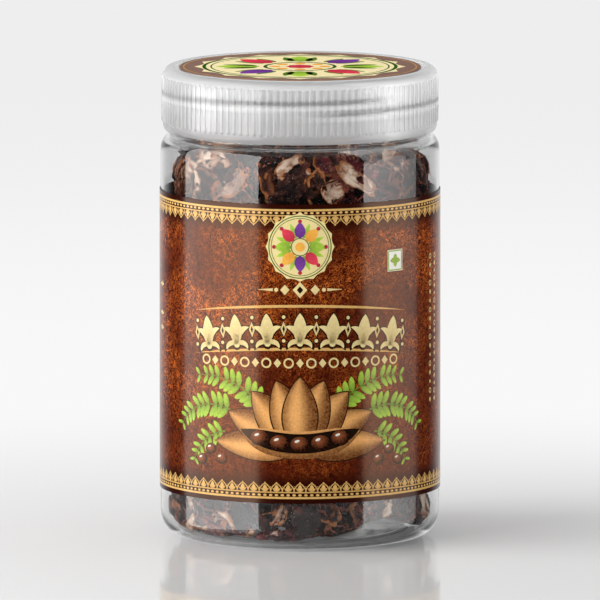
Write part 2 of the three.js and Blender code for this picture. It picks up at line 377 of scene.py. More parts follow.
def turned(profile, angles, radius_at=None):
    """A grid of points: the (radius, height) profile at every one of the angles about +Z. radius_at
    takes radius, height and angle and may change the radius."""
    angle = angles[None, :]
    radius = profile[:, :1] + 0 * angle
    height = profile[:, 1:] + 0 * angle
    if radius_at is not None:
        radius = radius_at(radius, height, angle + 0 * height)
    return np.stack([radius * np.cos(angle), radius * np.sin(angle), height], -1)


def grid_faces(rows, columns, round_rows, round_columns):
    """Quads of a grid whose points are counted row by row. A round direction joins its end to its
    start."""
    r = np.arange(rows if round_rows else rows - 1)[:, None]
    c = np.arange(columns if round_columns else columns - 1)[None, :]
    up, on = (r + 1) % rows, (c + 1) % columns
    corners = [r * columns + c, r * columns + on, up * columns + on, up * columns + c]
    return np.stack(np.broadcast_arrays(*corners), -1).reshape(-1, 4)


def add_piece(name, points, faces, material, attributes=None, sharp=40, outward=False):
    """A mesh object from points in millimetres and rows of quads. Points that coincide are welded,
    which closes seams and poles, and edges past the sharp angle, in degrees, stay crisp. outward
    turns every closed body's faces outwards."""
    mesh = bpy.data.meshes.new(name)
    points = points.reshape(-1, 3)
    mesh.vertices.add(len(points))
    mesh.vertices.foreach_set("co", (points * MM).ravel())
    mesh.loops.add(faces.size)
    mesh.loops.foreach_set("vertex_index", faces.ravel())
    mesh.polygons.add(len(faces))
    mesh.polygons.foreach_set("loop_start", np.arange(0, faces.size, faces.shape[1]))
    mesh.update(calc_edges=True)
    for label, values in (attributes or {}).items():
        layer = mesh.attributes.new(label, "FLOAT", "POINT")
        layer.data.foreach_set("value", np.asarray(values, float).ravel())
    work = bmesh.new()
    work.from_mesh(mesh)
    bmesh.ops.remove_doubles(work, verts=work.verts, dist=1e-4 * MM)
    bmesh.ops.dissolve_degenerate(work, edges=work.edges, dist=1e-4 * MM)
    if outward:
        bmesh.ops.recalc_face_normals(work, faces=work.faces)
    work.to_mesh(mesh)
    work.free()
    mesh.polygons.foreach_set("use_smooth", np.ones(len(mesh.polygons), bool))
    mesh.set_sharp_from_angle(angle=math.radians(sharp))
    mesh.materials.append(material)
    obj = bpy.data.objects.new(name, mesh)
    scene.collection.objects.link(obj)
    pieces_only.objects.link(obj)
    return obj


def jar_outside():
    """The outside's profile from the middle of the base up to the rim: gate mark, dome, foot ring,
    heel, wall, shoulder, the ring under the lid, and the neck, whose many points carry the thread."""
    shoulder = SHOULDER_TOP - SHOULDER_FOOT
    return chain(
        (0, DOME_RISE - GATE_DEPTH),
        (GATE_RADIUS * 0.7, DOME_RISE - GATE_DEPTH),
        (GATE_RADIUS, DOME_RISE - GATE_DEPTH * 0.6),
        arc((0, 0.3), (FOOT_INNER, DOME_RISE - 0.3), 84, 4, 24),
        arc((FOOT_INNER + 0.6, 0.6), (0.6, 0.6), 180, 270, 6),
        (FOOT_OUTER, 0),
        arc((FOOT_OUTER, HEEL_TOP), (BODY_RADIUS - FOOT_OUTER, HEEL_TOP), -90, 0, 24),
        line((BODY_RADIUS, HEEL_TOP), (BODY_RADIUS, SHOULDER_FOOT), 20),
        arc((SHOULDER_INNER, SHOULDER_FOOT), (BODY_RADIUS - SHOULDER_INNER, shoulder), 0, 90, 20),
        arc((SHOULDER_INNER, SHOULDER_TOP + 0.5), (0.6, 0.5), 270, 180, 5),
        line((NECK_RADIUS, NECK_FOOT), (NECK_RADIUS, 140.0), 2),
        arc((NECK_RADIUS + 0.3, RING_HEIGHT), (0.6, 0.7), -90, 90, 9),
        line((NECK_RADIUS, 141.9), (NECK_RADIUS, 157.8), 90),
        arc((NECK_RADIUS - 0.6, RIM - 0.6), (0.6, 0.6), 0, 90, 6),
    )


def jar_inside(gap=0.0):
    """The hollow's profile from the middle of the base upwards, drawn in by a gap: the dome, and then
    the heel, the wall, the shoulder and the neck, each a wall's thickness inside the outside."""
    wall = BODY_RADIUS - WALL - gap
    neck = NECK_INSIDE - gap
    floor_height = WALL + gap
    shoulder = SHOULDER_TOP - SHOULDER_FOOT
    return chain(
        arc((0, floor_height), (FOOT_INNER, DOME_RISE), 90, 6, 24),
        (FOOT_INNER + 1, floor_height),
        arc((FOOT_OUTER - 1, HEEL_TOP), (wall - FOOT_OUTER + 1, HEEL_TOP - floor_height), -90, 0, 20),
        line((wall, HEEL_TOP), (wall, SHOULDER_FOOT), 14),
        arc((neck, SHOULDER_FOOT), (wall - neck, shoulder - floor_height), 0, 90, 18),
        line((neck, SHOULDER_TOP - floor_height), (neck, RIM), 6),
    )


def with_thread(radius, height, angle):
    """The radius plus the thread's ridge times THREAD_PROUD, on the outside of the neck alone."""
    on_neck = (radius > NECK_RADIUS - 0.01) & (height > THREADED[0]) & (height < THREADED[1])
    ridge = helix_ridge(angle, height, THREAD_START, THREAD_HALF_WIDTH)
    return radius + on_neck * THREAD_PROUD * ridge


def operate(nodes, links, operation, first, second):
    """A Math node on two values, each a socket or a number."""
    node = nodes.new("ShaderNodeMath")
    node.operation = operation
    for socket, value in zip(node.inputs, (first, second)):
        if isinstance(value, bpy.types.NodeSocket):
            links.new(value, socket)
        else:
            socket.default_value = value
    return node.outputs[0]


def clear_plastic():
    """Clear plastic that bends and mirrors what is seen. Light on its way to other surfaces goes
    straight through, with the little that the plastic takes away."""
    material, nodes, links, skin = surface_material("clear_plastic")
    skin.inputs["Base Color"].default_value = (0.985, 0.99, 0.99, 1)
    skin.inputs["Roughness"].default_value = 0.015
    skin.inputs["IOR"].default_value = 1.54
    skin.inputs["Transmission Weight"].default_value = 1.0
    through = nodes.new("ShaderNodeBsdfTransparent")
    through.inputs["Color"].default_value = (0.93, 0.94, 0.94, 1)
    path = nodes.new("ShaderNodeLightPath")
    shadow, diffuse = path.outputs["Is Shadow Ray"], path.outputs["Is Diffuse Ray"]
    straight = operate(nodes, links, "MAXIMUM", shadow, diffuse)
    plastic = mix_shaders(nodes, links, straight, skin.outputs[0], through.outputs[0])
    links.new(plastic, nodes["Material Output"].inputs["Surface"])
    return material


jar_profile = chain(jar_outside(), jar_inside()[::-1])
jar_grid = turned(jar_profile, even_turn(JAR_STEPS), with_thread)
jar_shell = add_piece(
    "jar_shell",
    jar_grid,
    grid_faces(len(jar_profile), JAR_STEPS, False, True),
    clear_plastic(),
)
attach(jar_shell, "jar")
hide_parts("jar")

# ---- Lid ----
# Moulded milky plastic: a ribbed skirt over a plain band, a rounded edge, a sunk panel on top, and
# inside it a thread and a small ring that holds the liner.
LID_TOP = 162.0
LID_BOTTOM = 140.1
LID_RADIUS = 47.2
LID_BORE = 45.4
LID_CEILING = 160.4
LINER_RING_TOP = 158.6
THREADED_BORE = (144.5, 157.2)
LID_THREAD_PROUD = 1.3
LID_THREAD_BELOW = 1.25
PANEL_RADIUS = 43.0
PANEL_DEPTH = 0.5
RIB_COUNT = 120
RIB_BOTTOM = 143.2
RIB_TOP = 159.2
RIB_PROUD = 0.42
RIB_SHARE = 0.44
RIB_END = 0.9
RIB_STEPS = (0.0, 0.275, 0.298, 0.35, 0.5, 0.65, 0.702, 0.725)
# painted highlight and painted shade on the lid: the thread's bright line and the shadow above it, the
# dark fill behind the lower skirt and the grey rounded edge
LIT_ABOVE_THREAD = 1.25
LIT_HALF_WIDTH = 0.8
LIT_OUTSIDE = 0.22
SHADE_ABOVE_THREAD = 3.3
SHADE_HALF_WIDTH = 1.0
SHADE_OUTSIDE = 0.42
FILL_SHADE = 0.21
FILL_SHADE_TOP = 150.5
EDGE_SHADE = 0.22
BAND_THIN = 1.4
MILK_SHARE = 0.57
CLEAR_SHARE = 0.35
THIN_CLEAR_SHARE = 0.22
LID_GLOSS = 0.6


def from_rib(angle):
    """How far an angle lies from the middle of its rib: 0 there, 1 at the rib's side, more between."""
    place = (angle * RIB_COUNT / (2 * math.pi)) % 1.0
    return np.abs(place - 0.5) / (RIB_SHARE / 2)


def with_ribs(radius, height, angle):
    """The lid's radius with its ribs on the outside and its thread on the inside. Across a rib, the
    height is 1 minus the fourth power of the way from its middle to its side; along it, the ends
    rise as a quarter circle over RIB_END."""
    outside = radius > LID_RADIUS - 0.9
    across = from_rib(angle)
    end = np.minimum(height - RIB_BOTTOM, RIB_TOP - height)
    body = np.sqrt(np.clip(1 - (1 - np.clip(end / RIB_END, 0, 1)) ** 2, 0, 1))
    rib = np.clip(1 - across**4, 0, 1) * body * (end > 0)
    ridge = helix_ridge(angle, height, THREAD_START - LID_THREAD_BELOW, THREAD_HALF_WIDTH)
    inside = np.abs(radius - LID_BORE) < 0.01
    return radius + outside * RIB_PROUD * rib - inside * LID_THREAD_PROUD * ridge


def lid_profile():
    """The lid's section from the middle of its ceiling down the bore, round the rim, up the skirt,
    and over the rounded edge to the middle of the sunk panel. A small ring in the bore holds the
    liner, and the bore is a hair narrower where it carries the thread."""
    edge = LID_TOP - RIB_TOP
    bore_foot, bore_head = THREADED_BORE
    return chain(
        (0, LID_CEILING),
        (LID_BORE - 0.6, LID_CEILING),
        arc((LID_BORE - 0.6, LID_CEILING - 0.6), (0.6, 0.6), 90, 0, 4),
        (LID_BORE, LINER_RING_TOP),
        arc((LID_BORE, 158.0), (0.6, 0.5), 90, 270, 7),
        line((LID_BORE - 0.004, bore_head), (LID_BORE - 0.004, bore_foot), 34),
        line((LID_BORE, 144.3), (LID_BORE, LID_BOTTOM + 0.3), 2),
        arc((LID_BORE + 0.3, LID_BOTTOM + 0.3), (0.3, 0.3), 180, 270, 4),
        arc((LID_RADIUS - 1.3, RIB_BOTTOM), (1.3, RIB_BOTTOM - LID_BOTTOM), -90, 0, 8),
        line((LID_RADIUS, RIB_BOTTOM), (LID_RADIUS, RIB_BOTTOM + RIB_END), 5),
        line((LID_RADIUS, RIB_BOTTOM + 1.2), (LID_RADIUS, RIB_TOP - 1.2), 18),
        line((LID_RADIUS, RIB_TOP - RIB_END), (LID_RADIUS, RIB_TOP), 5),
        arc((LID_RADIUS - edge, RIB_TOP), (edge, edge), 0, 90, 9),
        arc((PANEL_RADIUS + 0.3, LID_TOP - 0.25), (0.3, 0.25), 90, 180, 4),
        (PANEL_RADIUS - 0.2, LID_TOP - PANEL_DEPTH),
        (0, LID_TOP - PANEL_DEPTH),
    )


def skirt_light_and_shade(profile, angles):
    """Three values at every point of the lid. lit is a painted highlight: a bright line where the jar's
    thread lies close behind the skirt. shade is painted shade: the shadow above that line, the dark fill
    behind the lower skirt and a grey on the rounded edge. Both are full in the bore and weaker on the
    outside. thin is 1 between the ribs and BAND_THIN on the band under them, where the skirt is thin and
    so clearer."""
    radius, height = profile[:, :1], profile[:, 1:]
    angle = angles[None, :]
    bore = np.abs(radius - LID_BORE) < 0.01
    skirt = radius > LID_RADIUS - 0.1
    start = THREAD_START - LID_THREAD_BELOW
    # painted highlight along the thread, and painted shadow above it
    lit = helix_ridge(angle, height, start + LIT_ABOVE_THREAD, LIT_HALF_WIDTH)
    shade = helix_ridge(angle, height, start + SHADE_ABOVE_THREAD, SHADE_HALF_WIDTH)
    lit = lit * np.where(bore, 1.0, LIT_OUTSIDE * skirt)
    shade = shade * np.where(bore, 1.0, SHADE_OUTSIDE * skirt)
    outside = radius > LID_BORE + 0.2
    # painted shade where the dark fill lies behind the lower skirt
    shade = np.maximum(shade, outside * FILL_SHADE * np.clip((FILL_SHADE_TOP - height) / 3, 0, 1))
    # painted shade that greys the lid's rounded edge
    edge = (radius > PANEL_RADIUS) & (height > RIB_TOP)
    shade = np.maximum(shade, edge * EDGE_SHADE * np.clip((height - RIB_TOP) / 0.8, 0, 1))
    ribbed = skirt & (height > RIB_BOTTOM) & (height < RIB_TOP)
    between = ribbed * np.clip(3 * from_rib(angle) - 2.6, 0, 1)
    band_under = np.clip((RIB_BOTTOM + 0.3 - height) / 0.6, 0, 1)
    return {"lit": lit, "shade": shade, "thin": between + BAND_THIN * band_under}


def attribute(nodes, name):
    """The value that a mesh attribute has at each point of the surface."""
    node = nodes.new("ShaderNodeAttribute")
    node.attribute_name = name
    return node.outputs["Fac"]


def milky_plastic():
    """Natural plastic, neither clear nor white. CLEAR_SHARE of the light goes straight through, and
    THIN_CLEAR_SHARE more where the skirt is thin. Of the rest, MILK_SHARE is scattered by a milky
    body, back to the front and through to the other side, and the others pass a nearly clear skin.
    The surface is polished. The painted highlight and painted shade hide what lies behind them."""
    material, nodes, links, skin = surface_material("milky_plastic")
    skin.inputs["Base Color"].default_value = (0.97, 0.975, 0.975, 1)
    skin.inputs["Roughness"].default_value = 0.06
    skin.inputs["IOR"].default_value = 1.4
    skin.inputs["Transmission Weight"].default_value = 0.8
    glow = nodes.new("ShaderNodeBsdfTranslucent")
    glow.inputs["Color"].default_value = (0.96, 0.965, 0.965, 1)
    back = nodes.new("ShaderNodeBsdfDiffuse")
    back.inputs["Color"].default_value = (0.98, 0.985, 0.985, 1)
    # the dark that paints the shade
    painted_dark = nodes.new("ShaderNodeBsdfDiffuse")
    painted_dark.inputs["Color"].default_value = (0.05, 0.047, 0.045, 1)
    through = nodes.new("ShaderNodeBsdfTransparent")
    through.inputs["Color"].default_value = (0.96, 0.96, 0.96, 1)
    gloss = nodes.new("ShaderNodeBsdfGlossy")
    gloss.inputs["Roughness"].default_value = 0.13
    lit, shade = attribute(nodes, "lit"), attribute(nodes, "shade")
    shadow_ray = nodes.new("ShaderNodeLightPath").outputs["Is Shadow Ray"]
    # the body, with the painted highlight and painted shade in it
    milk = mix_shaders(nodes, links, 0.5, glow.outputs[0], back.outputs[0])
    body = mix_shaders(nodes, links, MILK_SHARE, skin.outputs[0], milk)
    with_painted_shade = mix_shaders(nodes, links, shade, body, painted_dark.outputs[0])
    with_painted_highlight = mix_shaders(nodes, links, lit, with_painted_shade, milk)
    # what goes straight through, which is all of the light for shadows
    clearer = operate(nodes, links, "MULTIPLY", attribute(nodes, "thin"), THIN_CLEAR_SHARE)
    clear = operate(nodes, links, "ADD", clearer, CLEAR_SHARE)
    unpainted = operate(nodes, links, "SUBTRACT", 1, operate(nodes, links, "MAXIMUM", lit, shade))
    straight = operate(nodes, links, "MULTIPLY", unpainted, clear)
    share = operate(nodes, links, "MAXIMUM", shadow_ray, straight)
    plastic = mix_shaders(nodes, links, share, with_painted_highlight, through.outputs[0])
    # the polish, which takes nothing from the light for shadows
    grazing = nodes.new("ShaderNodeFresnel")
    grazing.inputs["IOR"].default_value = 1.5
    most = operate(nodes, links, "SUBTRACT", LID_GLOSS, shadow_ray)
    shine = operate(nodes, links, "MULTIPLY", grazing.outputs[0], most)
    polished = mix_shaders(nodes, links, shine, plastic, gloss.outputs[0])
    links.new(polished, nodes["Material Output"].inputs["Surface"])
    return material


lid_rows = lid_profile()
rib_places = np.arange(RIB_COUNT)[:, None] + np.array(RIB_STEPS)
lid_angles = rib_places.ravel() * 2 * math.pi / RIB_COUNT
lid_shell = add_piece(
    "lid_shell",
    turned(lid_rows, lid_angles, with_ribs),
    grid_faces(len(lid_rows), len(lid_angles), False, True),
    milky_plastic(),
    skirt_light_and_shade(lid_rows, lid_angles),
)
lid_only.objects.link(lid_shell)
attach(lid_shell, "lid")
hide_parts("lid")

# ---- Liner ----
# A disc of white closed-cell foam, punched from sheet. It lies loose under the lid's ceiling, where
# the small ring in the bore holds it, and the lid presses it on the jar's rim.
LINER_STEPS = 192
LINER_RADIUS = 45.0
LINER_FLAT = 38.0
LINER_BOTTOM = 158.9
LINER_TOP = 160.1
FOAM_CELLS_PER_METRE = 2200


def white_foam():
    """Matt white foam whose closed cells stand out a little."""
    material, nodes, links, skin = surface_material("white_foam")
    skin.inputs["Base Color"].default_value = (0.87, 0.87, 0.85, 1)
    skin.inputs["Roughness"].default_value = 0.7
    cells = nodes.new("ShaderNodeTexVoronoi")
    cells.inputs["Scale"].default_value = FOAM_CELLS_PER_METRE
    place = nodes.new("ShaderNodeTexCoord")
    links.new(place.outputs["Object"], cells.inputs["Vector"])
    bump = nodes.new("ShaderNodeBump")
    bump.inputs["Strength"].default_value = 0.25
    bump.inputs["Distance"].default_value = 0.0001
    links.new(cells.outputs["Distance"], bump.inputs["Height"])
    links.new(bump.outputs[0], skin.inputs["Normal"])
    return material


liner_rows = chain(
    (0, LINER_BOTTOM),
    line((LINER_FLAT, LINER_BOTTOM), (LINER_RADIUS - 0.2, LINER_BOTTOM), 4),
    arc((LINER_RADIUS - 0.2, (LINER_BOTTOM + LINER_TOP) / 2), (0.2, 0.6), -90, 90, 7),
    (LINER_FLAT, LINER_TOP),
    (0, LINER_TOP),
)
liner_disc = add_piece(
    "liner_disc",
    turned(liner_rows, even_turn(LINER_STEPS)),
    grid_faces(len(liner_rows), LINER_STEPS, False, True),
    white_foam(),
)
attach(liner_disc, "liner")
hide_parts("liner")

# ---- Label ----
# Printed glossy film wrapped round the wall, its ends glued over each other at the back. Its ground is
# printed like rough bark or pulp, rust on dark brown, and turns plain and dark at both edges.
LABEL_LOW = 16.8
LABEL_HIGH = 120.0
LABEL_RADIUS = 48.3
LABEL_THICKNESS = 0.12
LABEL_STEPS = 400
LABEL_LAP = 9.0
LAP_GAP = 0.02
LABEL_DARK = (0.024, 0.0025, 0.001)
LABEL_BROWN = (0.06, 0.006, 0.0018)
LABEL_RUST = (0.12, 0.014, 0.003)
LABEL_ORANGE = (0.68, 0.16, 0.022)
PLAIN_EDGE = (0.012, 0.006)
FILM_GLOSS = 0.38
FILM_SHARP = 30


def film_finish(skin, gloss):
    """The smooth skin of printed film, whose gloss has the warm tint of the print under it."""
    skin.inputs["Roughness"].default_value = 0.17
    skin.inputs["Specular IOR Level"].default_value = gloss
    skin.inputs["Specular Tint"].default_value = (1.0, 0.66, 0.46, 1)


def ramp(nodes, links, source, stops):
    """A colour ramp over the source value, from (position, colour) stops."""
    node = nodes.new("ShaderNodeValToRGB")
    elements = node.color_ramp.elements
    while len(elements) < len(stops):
        elements.new(0.5)
    for element, (position, colour) in zip(elements, stops):
        element.position = position
        element.color = (*colour, 1)
    links.new(source, node.inputs["Fac"])
    return node.outputs["Color"]


def noise(nodes, links, place, scale, detail, roughness=0.55, distortion=0.0):
    """A cloud pattern on the given coordinates; scale is in features per metre."""
    node = nodes.new("ShaderNodeTexNoise")
    node.inputs["Scale"].default_value = scale
    node.inputs["Detail"].default_value = detail
    node.inputs["Roughness"].default_value = roughness
    node.inputs["Distortion"].default_value = distortion
    links.new(place, node.inputs["Vector"])
    return node.outputs["Fac"]


def blend_colours(nodes, links, factor, first, second):
    """The first colour where factor is 0, the second where it is 1. Each is a socket or a colour."""
    node = nodes.new("ShaderNodeMix")
    node.data_type = "RGBA"
    for socket, value in ((0, factor), (6, first), (7, second)):
        if isinstance(value, bpy.types.NodeSocket):
            links.new(value, node.inputs[socket])
        else:
            node.inputs[socket].default_value = value if socket == 0 else (*value, 1)
    return node.outputs[2]


def shreds(nodes, links, place, scale, thickness):
    """Short curved threads: 1 on the lines where a twisted cloud pattern passes its middle value, and
    down to 0 where it is off that by the thickness."""
    cloudy = noise(nodes, links, place, scale, 1, 0.5, 1.4)
    off = operate(nodes, links, "ABSOLUTE", operate(nodes, links, "SUBTRACT", cloudy, 0.5), 0)
    return map_range(nodes, links, off, thickness * 0.3, thickness, 1, 0)


def label_film():
    """Printed bark: a fine grain of dark brown to rust, with orange threads over it, coarse ones cut
    short and fine ones between. The threads come and go in large clouds, are fewer low down, and
    the ground turns plain and dark over PLAIN_EDGE of the distance to both edges."""
    material, nodes, links, skin = surface_material("label_film")
    film_finish(skin, FILM_GLOSS)
    place = nodes.new("ShaderNodeTexCoord").outputs["Object"]
    grain = noise(nodes, links, place, 700, 5, 0.7, 0.6)
    clouds = noise(nodes, links, place, 45, 4, 0.6, 0.4)
    ground = ramp(nodes, links, grain, [(0.34, LABEL_DARK), (0.5, LABEL_BROWN), (0.7, LABEL_RUST)])
    cut = map_range(nodes, links, noise(nodes, links, place, 560, 2), 0.42, 0.56)
    amount = map_range(nodes, links, clouds, 0.34, 0.64, 0.1, 0.9)
    coarse = operate(nodes, links, "MULTIPLY", shreds(nodes, links, place, 430, 0.04), cut)
    fine = operate(nodes, links, "MULTIPLY", shreds(nodes, links, place, 700, 0.06), 0.55)
    threads = operate(nodes, links, "MAXIMUM", coarse, fine)
    height = nodes.new("ShaderNodeSeparateXYZ")
    links.new(place, height.inputs[0])
    more = map_range(nodes, links, height.outputs["Z"], 0.02, 0.08, 0.35, 1.15)
    lit = operate(nodes, links, "MULTIPLY", threads, operate(nodes, links, "MULTIPLY", amount, more))
    flecked = blend_colours(nodes, links, lit, ground, LABEL_ORANGE)
    middle = (LABEL_LOW + LABEL_HIGH) / 2 * MM
    half = (LABEL_HIGH - LABEL_LOW) / 2 * MM
    off = operate(nodes, links, "SUBTRACT", height.outputs["Z"], middle)
    away = operate(nodes, links, "ABSOLUTE", off, 0)
    edge = map_range(nodes, links, away, half - PLAIN_EDGE[0], half - PLAIN_EDGE[1])
    colour = blend_colours(nodes, links, edge, flecked, LABEL_DARK)
    links.new(colour, skin.inputs["Base Color"])
    return material


def lap_rise(over):
    """How far the film's outer end rises over the inner one: its thickness and a gap, by a smooth
    step of over from 0 to 1."""
    return (LABEL_THICKNESS + LAP_GAP) * over * over * (3 - 2 * over)


def label_strip():
    """The film as one strip: a closed loop round its thin section, carried round the jar. Both ends
    lie at the back, one on top of the other, and the upper one rises by its thickness and a gap."""
    lap = LABEL_LAP / LABEL_RADIUS
    angle = np.linspace(math.pi / 2 - lap / 2, math.pi / 2 + 2 * math.pi + lap / 2, LABEL_STEPS)
    outer = LABEL_RADIUS + lap_rise(np.clip((angle - angle[-1] + 2 * lap) / lap, 0, 1))
    inner = outer - LABEL_THICKNESS
    rows = [(inner, LABEL_LOW), (outer, LABEL_LOW), (outer, LABEL_HIGH), (inner, LABEL_HIGH)]
    points = [np.stack([r * np.cos(angle), r * np.sin(angle), h + 0 * angle], -1) for r, h in rows]
    faces = grid_faces(4, LABEL_STEPS, True, False)
    ends = np.array([[0, LABEL_STEPS, 2 * LABEL_STEPS, 3 * LABEL_STEPS]])
    faces = np.concatenate([faces, ends[:, ::-1], ends + LABEL_STEPS - 1])
    return np.array(points), faces


strip_points, strip_faces = label_strip()
label_wrap = add_piece("label_wrap", strip_points, strip_faces, label_film(), sharp=FILM_SHARP)
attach(label_wrap, "jar")
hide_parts("label")

# ---- Printed ornament ----
# Inks printed on the film: a gold border at both edges, a round medallion, a small divider, a frieze
# between two rules, a row of beads, a flower with leafy sprays, a tile and framed blank panels. Flat
# shapes are complex numbers, along the label + height j, and every ink is a thin slab on the film.
INK_THICKNESS = 0.02
INK_SUNK = 0.01
INK_MOTTLE = 0.1
BORDER_UNITS = 75
BORDER_UNIT = 2 * math.pi * LABEL_RADIUS / BORDER_UNITS
MEDALLION = 105.4j
DIVIDER = 90.6j
RULE_HALF = 40.0
RULE_SAG = 3.2
RULE_HEIGHTS = (85.0, 70.2)
FRIEZE_HEIGHT = 77.2
FRIEZE_FLOWERS = np.linspace(-33.6, 33.6, 7)
FRIEZE_DIAMONDS = np.linspace(-39.2, 39.2, 8)
BEADS_HEIGHT = 65.3
BLOOM = 36.5j
HUSK_HALF = 21
HUSK_RISE = 4.6
TILE = 35.8 + 99.3j
PANELS = (-100 + 67j, 100 + 67j)


def film_lift(along):
    """How far the film's outer end rises where it lies over the inner end, at a distance along."""
    return lap_rise(np.clip((along / LABEL_RADIUS - math.pi) * LABEL_RADIUS / LABEL_LAP + 1.5, 0, 1))


def on_wall(flat, height):
    """Bends flat points round the jar, at a height above the film: the distance along divided by the
    film's radius is the angle from the front."""
    angle = flat.real / LABEL_RADIUS - math.pi / 2
    radius = LABEL_RADIUS + film_lift(flat.real) + height
    return np.stack([radius * np.cos(angle), radius * np.sin(angle), flat.imag], -1)


def copied_faces(faces, count, size):
    """The faces of one body, repeated for a count of bodies that have size points each."""
    return (faces[None] + (np.arange(count) * size)[:, None, None]).reshape(-1, faces.shape[1])


def slab_faces(rows, columns, ring):
    """Quads of a slab: an upper sheet of rows by columns points, the same sheet below it, and walls
    round its edge. A ring closes its columns and has its middle at the first row."""
    sheet = grid_faces(rows, columns, False, ring)
    under = rows * columns
    index = np.arange(under).reshape(rows, columns)
    if ring:
        edge = index[-1]
    else:
        edge = np.concatenate([index[0, :-1], index[:-1, -1], index[-1, :0:-1], index[:0:-1, 0]])
    following = np.roll(edge, -1)
    walls = np.stack([edge, edge + under, following + under, following], 1)
    return np.concatenate([sheet, sheet[:, ::-1] + under, walls])


def print_ink(name, body, surface, shapes, material):
    """One piece that holds all shapes of one ink. Each shape is (copies x rows x columns flat points,
    whether it is a ring, tone of the ink from 0 to 1, height above the film). What is printed over
    another shape has the greater height."""
    points, faces, tones, count = [], [], [], 0
    for flat, ring, tone, height in shapes:
        copies, rows, columns = flat.shape
        upper = surface(flat, height + INK_THICKNESS)
        lower = surface(flat, height - INK_SUNK)
        points.append(np.stack([upper, lower], 1).reshape(-1, 3))
        size = 2 * rows * columns
        faces.append(count + copied_faces(slab_faces(rows, columns, ring), copies, size))
        tone = np.broadcast_to(tone, flat.shape)
        tones.append(np.stack([tone, tone], 1).ravel())
        count += copies * size
    points, faces = np.concatenate(points), np.concatenate(faces)
    piece = add_piece(name, points, faces, material, {"tone": np.concatenate(tones)}, outward=True)
    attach(piece, body)
    return piece


def ink(name, colours, gloss):
    """An ink from its deep to its bright tone. A fine mottle moves the tone by up to INK_MOTTLE."""
    material, nodes, links, skin = surface_material(name)
    film_finish(skin, gloss)
    place = nodes.new("ShaderNodeTexCoord").outputs["Object"]
    mottle = noise(nodes, links, place, 1400, 3)
    grain = map_range(nodes, links, mottle, 0.3, 0.7, -INK_MOTTLE, INK_MOTTLE)
    total = operate(nodes, links, "ADD", attribute(nodes, "tone"), grain)
    total.node.use_clamp = True
    links.new(blend_colours(nodes, links, total, *colours), skin.inputs["Base Color"])
    return material


def leaf(length, width, fullness=1.0, rows=12, columns=5, point=0.75):
    """A leaf from the origin upwards. Its half width is a sine of the way along, raised to the point:
    fullness under 1 moves its widest part towards the foot, and a low point makes its ends round."""
    along = np.linspace(0, 1, rows)[:, None]
    across = np.linspace(-1, 1, columns)[None, :]
    half = width / 2 * np.clip(np.sin(math.pi * along**fullness), 0, 1) ** point
    return across * half + 1j * along * length


def bent(shape, degrees):
    """Bends an upright shape along a circle: its foot stays and its top turns by the degrees."""
    curve = math.radians(degrees) / shape.imag.max()
    heading = np.exp(1j * curve * shape.imag)
    return (heading - 1) / curve + shape.real * heading


def band(path, width):
    """A stroke of the given width, even or one for each point, along a path of flat points."""
    way = np.gradient(path)
    side = 1j * way / np.abs(way) * np.broadcast_to(width, path.shape) / 2
    return np.stack([path - side, path + side], 1)


def disc(radius, lobes=0, depth=0.0, columns=24):
    """A round of flat points, with its middle at the origin. Lobes scallop its edge: the radius is
    less by its share depth, times the size of a sine with half a wave for every lobe."""
    angle = np.linspace(0, 2 * math.pi, columns, endpoint=False)
    edge = radius * (1 - depth * np.abs(np.sin(lobes * angle / 2)))
    return np.linspace(0, 1, 5)[:, None] * (edge * np.exp(1j * angle))[None, :]


def oval(across, up, columns=10):
    """A disc of radius 1, stretched to half the width and half the height of an oval."""
    round_one = disc(1, columns=columns)
    return round_one.real * across + 1j * round_one.imag * up


def hoop(radius, width, columns=72):
    """A closed ring stroke about the origin."""
    return band(radius * np.exp(1j * np.linspace(0, 2 * math.pi, columns)), width)


def lozenge(width, height):
    """A four-cornered diamond about the origin, as a five by five grid."""
    s, t = np.meshgrid(np.linspace(-1, 1, 5), np.linspace(-1, 1, 5))
    return (s - t) * width / 4 + 1j * (s + t) * height / 4


def plate(width, height):
    """A rectangle about the origin."""
    s, t = np.meshgrid(np.linspace(-1, 1, 9), np.linspace(-1, 1, 3))
    return s * width / 2 + 1j * t * height / 2


def frame_strokes(middle, half_wide, half_high, width):
    """Four strokes round a rectangle, as copies of one shape."""
    square = np.array([-1 - 1j, 1 - 1j, 1 + 1j, -1 + 1j, -1 - 1j])
    corners = middle + square.real * half_wide + 1j * square.imag * half_high
    runs = [band(np.linspace(start, end, 50), width) for start, end in zip(corners[:-1], corners[1:])]
    return np.array(runs)


def placed(shape, at, turn=0.0, scale=1.0):
    """Copies of a shape: turned by turn degrees, scaled, then moved to each place in at."""
    at = np.atleast_1d(np.asarray(at, complex))
    spin = np.exp(1j * np.radians(np.broadcast_to(turn, at.shape))) * scale
    return shape[None] * spin[:, None, None] + at[:, None, None]


